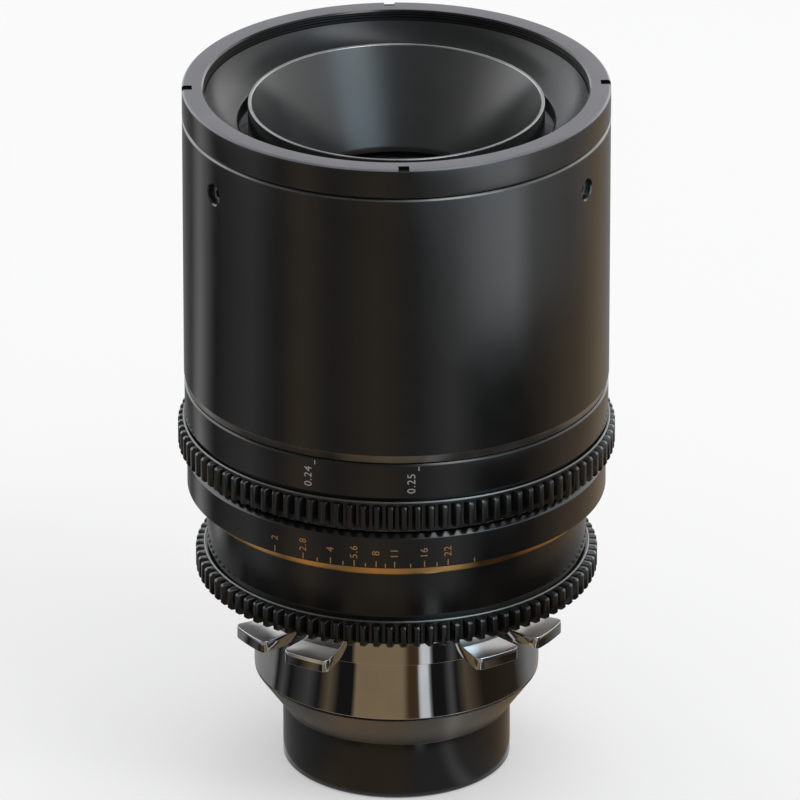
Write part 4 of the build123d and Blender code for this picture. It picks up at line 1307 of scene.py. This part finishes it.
def card_material(name, cards, zones):
    """Soft cards by azimuth and by distance from the axis."""
    material = bpy.data.materials.new(name)
    material.use_nodes = True
    tree = material.node_tree
    nodes, links = tree.nodes, tree.links
    nodes.clear()
    place = nodes.new("ShaderNodeTexCoord")
    split = nodes.new("ShaderNodeSeparateXYZ")
    links.new(place.outputs["Object"], split.inputs[0])
    depth = computed(tree, "MULTIPLY", split.outputs["Y"], -1.0)
    angle = computed(tree, "ARCTAN2", split.outputs["X"], depth)
    share = computed(tree, "MULTIPLY_ADD", angle, 1 / (2 * math.pi), 0.5)
    radius = axis_distance(tree, split)
    seen = card_ramp(tree, share, cards)
    for begin, full, further in zones:
        ramp = card_ramp(tree, share, further)
        mix = nodes.new("ShaderNodeMix")
        mix.data_type = "RGBA"
        first, second = (socket for socket in mix.inputs if socket.type == "RGBA")
        links.new(ranged(tree, radius, begin, full), mix.inputs["Factor"])
        links.new(seen, first)
        links.new(ramp, second)
        seen = next(socket for socket in mix.outputs if socket.type == "RGBA")
    light = nodes.new("ShaderNodeEmission")
    links.new(seen, light.inputs["Color"])
    output = nodes.new("ShaderNodeOutputMaterial")
    links.new(light.outputs[0], output.inputs["Surface"])
    return material


def card_holder(name, outline, cards, zones=()):
    """One turned backdrop that only polished faces see."""
    piece = lathe(name, outline, closed=False, segments=SURROUND_SEGMENTS)
    piece.rotation_euler.z = math.radians(CAMERA_AZIMUTH)
    piece.data.materials.append(card_material(name, cards, zones))
    piece.visible_camera = False
    piece.visible_diffuse = False
    piece.visible_transmission = False
    piece.visible_shadow = False


def surround():
    """A shallow bowl of cards round the lens, and a lid of cards over it."""
    foot = TAIL_REAR + SURROUND_LIFT
    top = foot + SURROUND_HEIGHT
    bowl = [(SURROUND_BORE, foot), (SURROUND_RADIUS, foot), (SURROUND_RADIUS, top)]
    lid = [(FIT, top), (SURROUND_RADIUS, top)]
    card_holder("studio_surround", bowl, FOOT_CARDS, ZONES)
    card_holder("studio_lid", lid, TOP_CARDS)


def floor():
    """Plain pale floor under the tail, lighter where it is seen than in its light."""
    work = bmesh.new()
    bmesh.ops.create_grid(
        work, x_segments=FLOOR_SQUARES, y_segments=FLOOR_SQUARES, size=FLOOR_SIZE / 2 * MM
    )
    bmesh.ops.translate(work, vec=(0, 0, TAIL_REAR * MM), verts=work.verts)
    piece = finish_mesh("floor", work, smooth=False)
    finish = Finish("floor_pale", FLOOR_TONES[0], FLOOR_ROUGHNESS)
    finish.shader.inputs["Specular IOR Level"].default_value = FLOOR_GLOSS
    finish.colour(finish.noise(FLOOR_CLOUD_SIZE), FLOOR_TONES)
    glow = computed(finish.tree, "MULTIPLY", direct_rays(finish.tree), FLOOR_GLOW)
    finish.shader.inputs["Emission Color"].default_value = (1, 1, 1, 1)
    finish.links.new(glow, finish.shader.inputs["Emission Strength"])
    piece.data.materials.append(finish.material)


def world():
    """Soft light from all round, white where the camera, gloss and glass look."""
    scene = bpy.context.scene
    scene.world = bpy.data.worlds.new("studio")
    scene.world.use_nodes = True
    tree = scene.world.node_tree
    light = tree.nodes["Background"]
    strength = ranged(tree, direct_rays(tree), 0.0, 1.0, WORLD_LEVEL)
    light.inputs["Color"].default_value = (1, 1, 1, 1)
    tree.links.new(strength, light.inputs["Strength"])


def softbox(name, azimuth, elevation, distance, width, height, power, shine):
    """One rectangular lamp that faces the lens."""
    lamp = bpy.data.lights.new(name, "AREA")
    lamp.shape = "RECTANGLE"
    lamp.size = width * MM
    lamp.size_y = height * MM
    lamp.energy = power
    lamp.specular_factor = shine
    holder = bpy.data.objects.new(name, lamp)
    bpy.context.scene.collection.objects.link(holder)
    rise = math.radians(elevation)
    target = Vector((0, 0, AIM[1] * MM))
    holder.location = target + on_circle(
        distance * math.cos(rise), azimuth, distance * math.sin(rise)
    )
    holder.rotation_euler = (target - holder.location).to_track_quat("-Z", "Y").to_euler()


def lamps():
    """Soft strip and panels, with two small lamps for glints on edges and in the glass."""
    for name, row in LAMPS.items():
        softbox(name, *row)


def camera():
    """Long lens at the photograph's viewing angle."""
    lens = bpy.data.cameras.new("camera")
    lens.sensor_width = SENSOR_WIDTH
    lens.lens = CAMERA_FOCAL_LENGTH
    lens.clip_end = CAMERA_CLIP
    holder = bpy.data.objects.new("camera", lens)
    bpy.context.scene.collection.objects.link(holder)
    rise = math.radians(CAMERA_ELEVATION)
    back = on_circle(math.cos(rise), CAMERA_AZIMUTH, math.sin(rise)) / MM
    sideways = on_circle(1, CAMERA_AZIMUTH + 90, 0) / MM
    target = sideways * AIM[0] * MM + Vector((0, 0, AIM[1] * MM))
    holder.location = target + back * CAMERA_DISTANCE * MM
    holder.rotation_mode = "QUATERNION"
    holder.rotation_quaternion = (-back).to_track_quat("-Z", "Y")
    bpy.context.scene.camera = holder


dress_frame()
front_ring()
front_baffle()
hood_cone()
element("front_glass_piece", "lens_element_1", "front_group", FRONT_GLASS)
front_barrel()
focus_parts()
mid_collar()
iris_parts()
lens_mount()
rear_parts()
element("rear_glass_piece", "lens_element_8", "fixed_body", REAR_GLASS)
scales()
surround()
floor()
world()
lamps()
camera()
bpy.context.scene.view_settings.view_transform = "Standard"
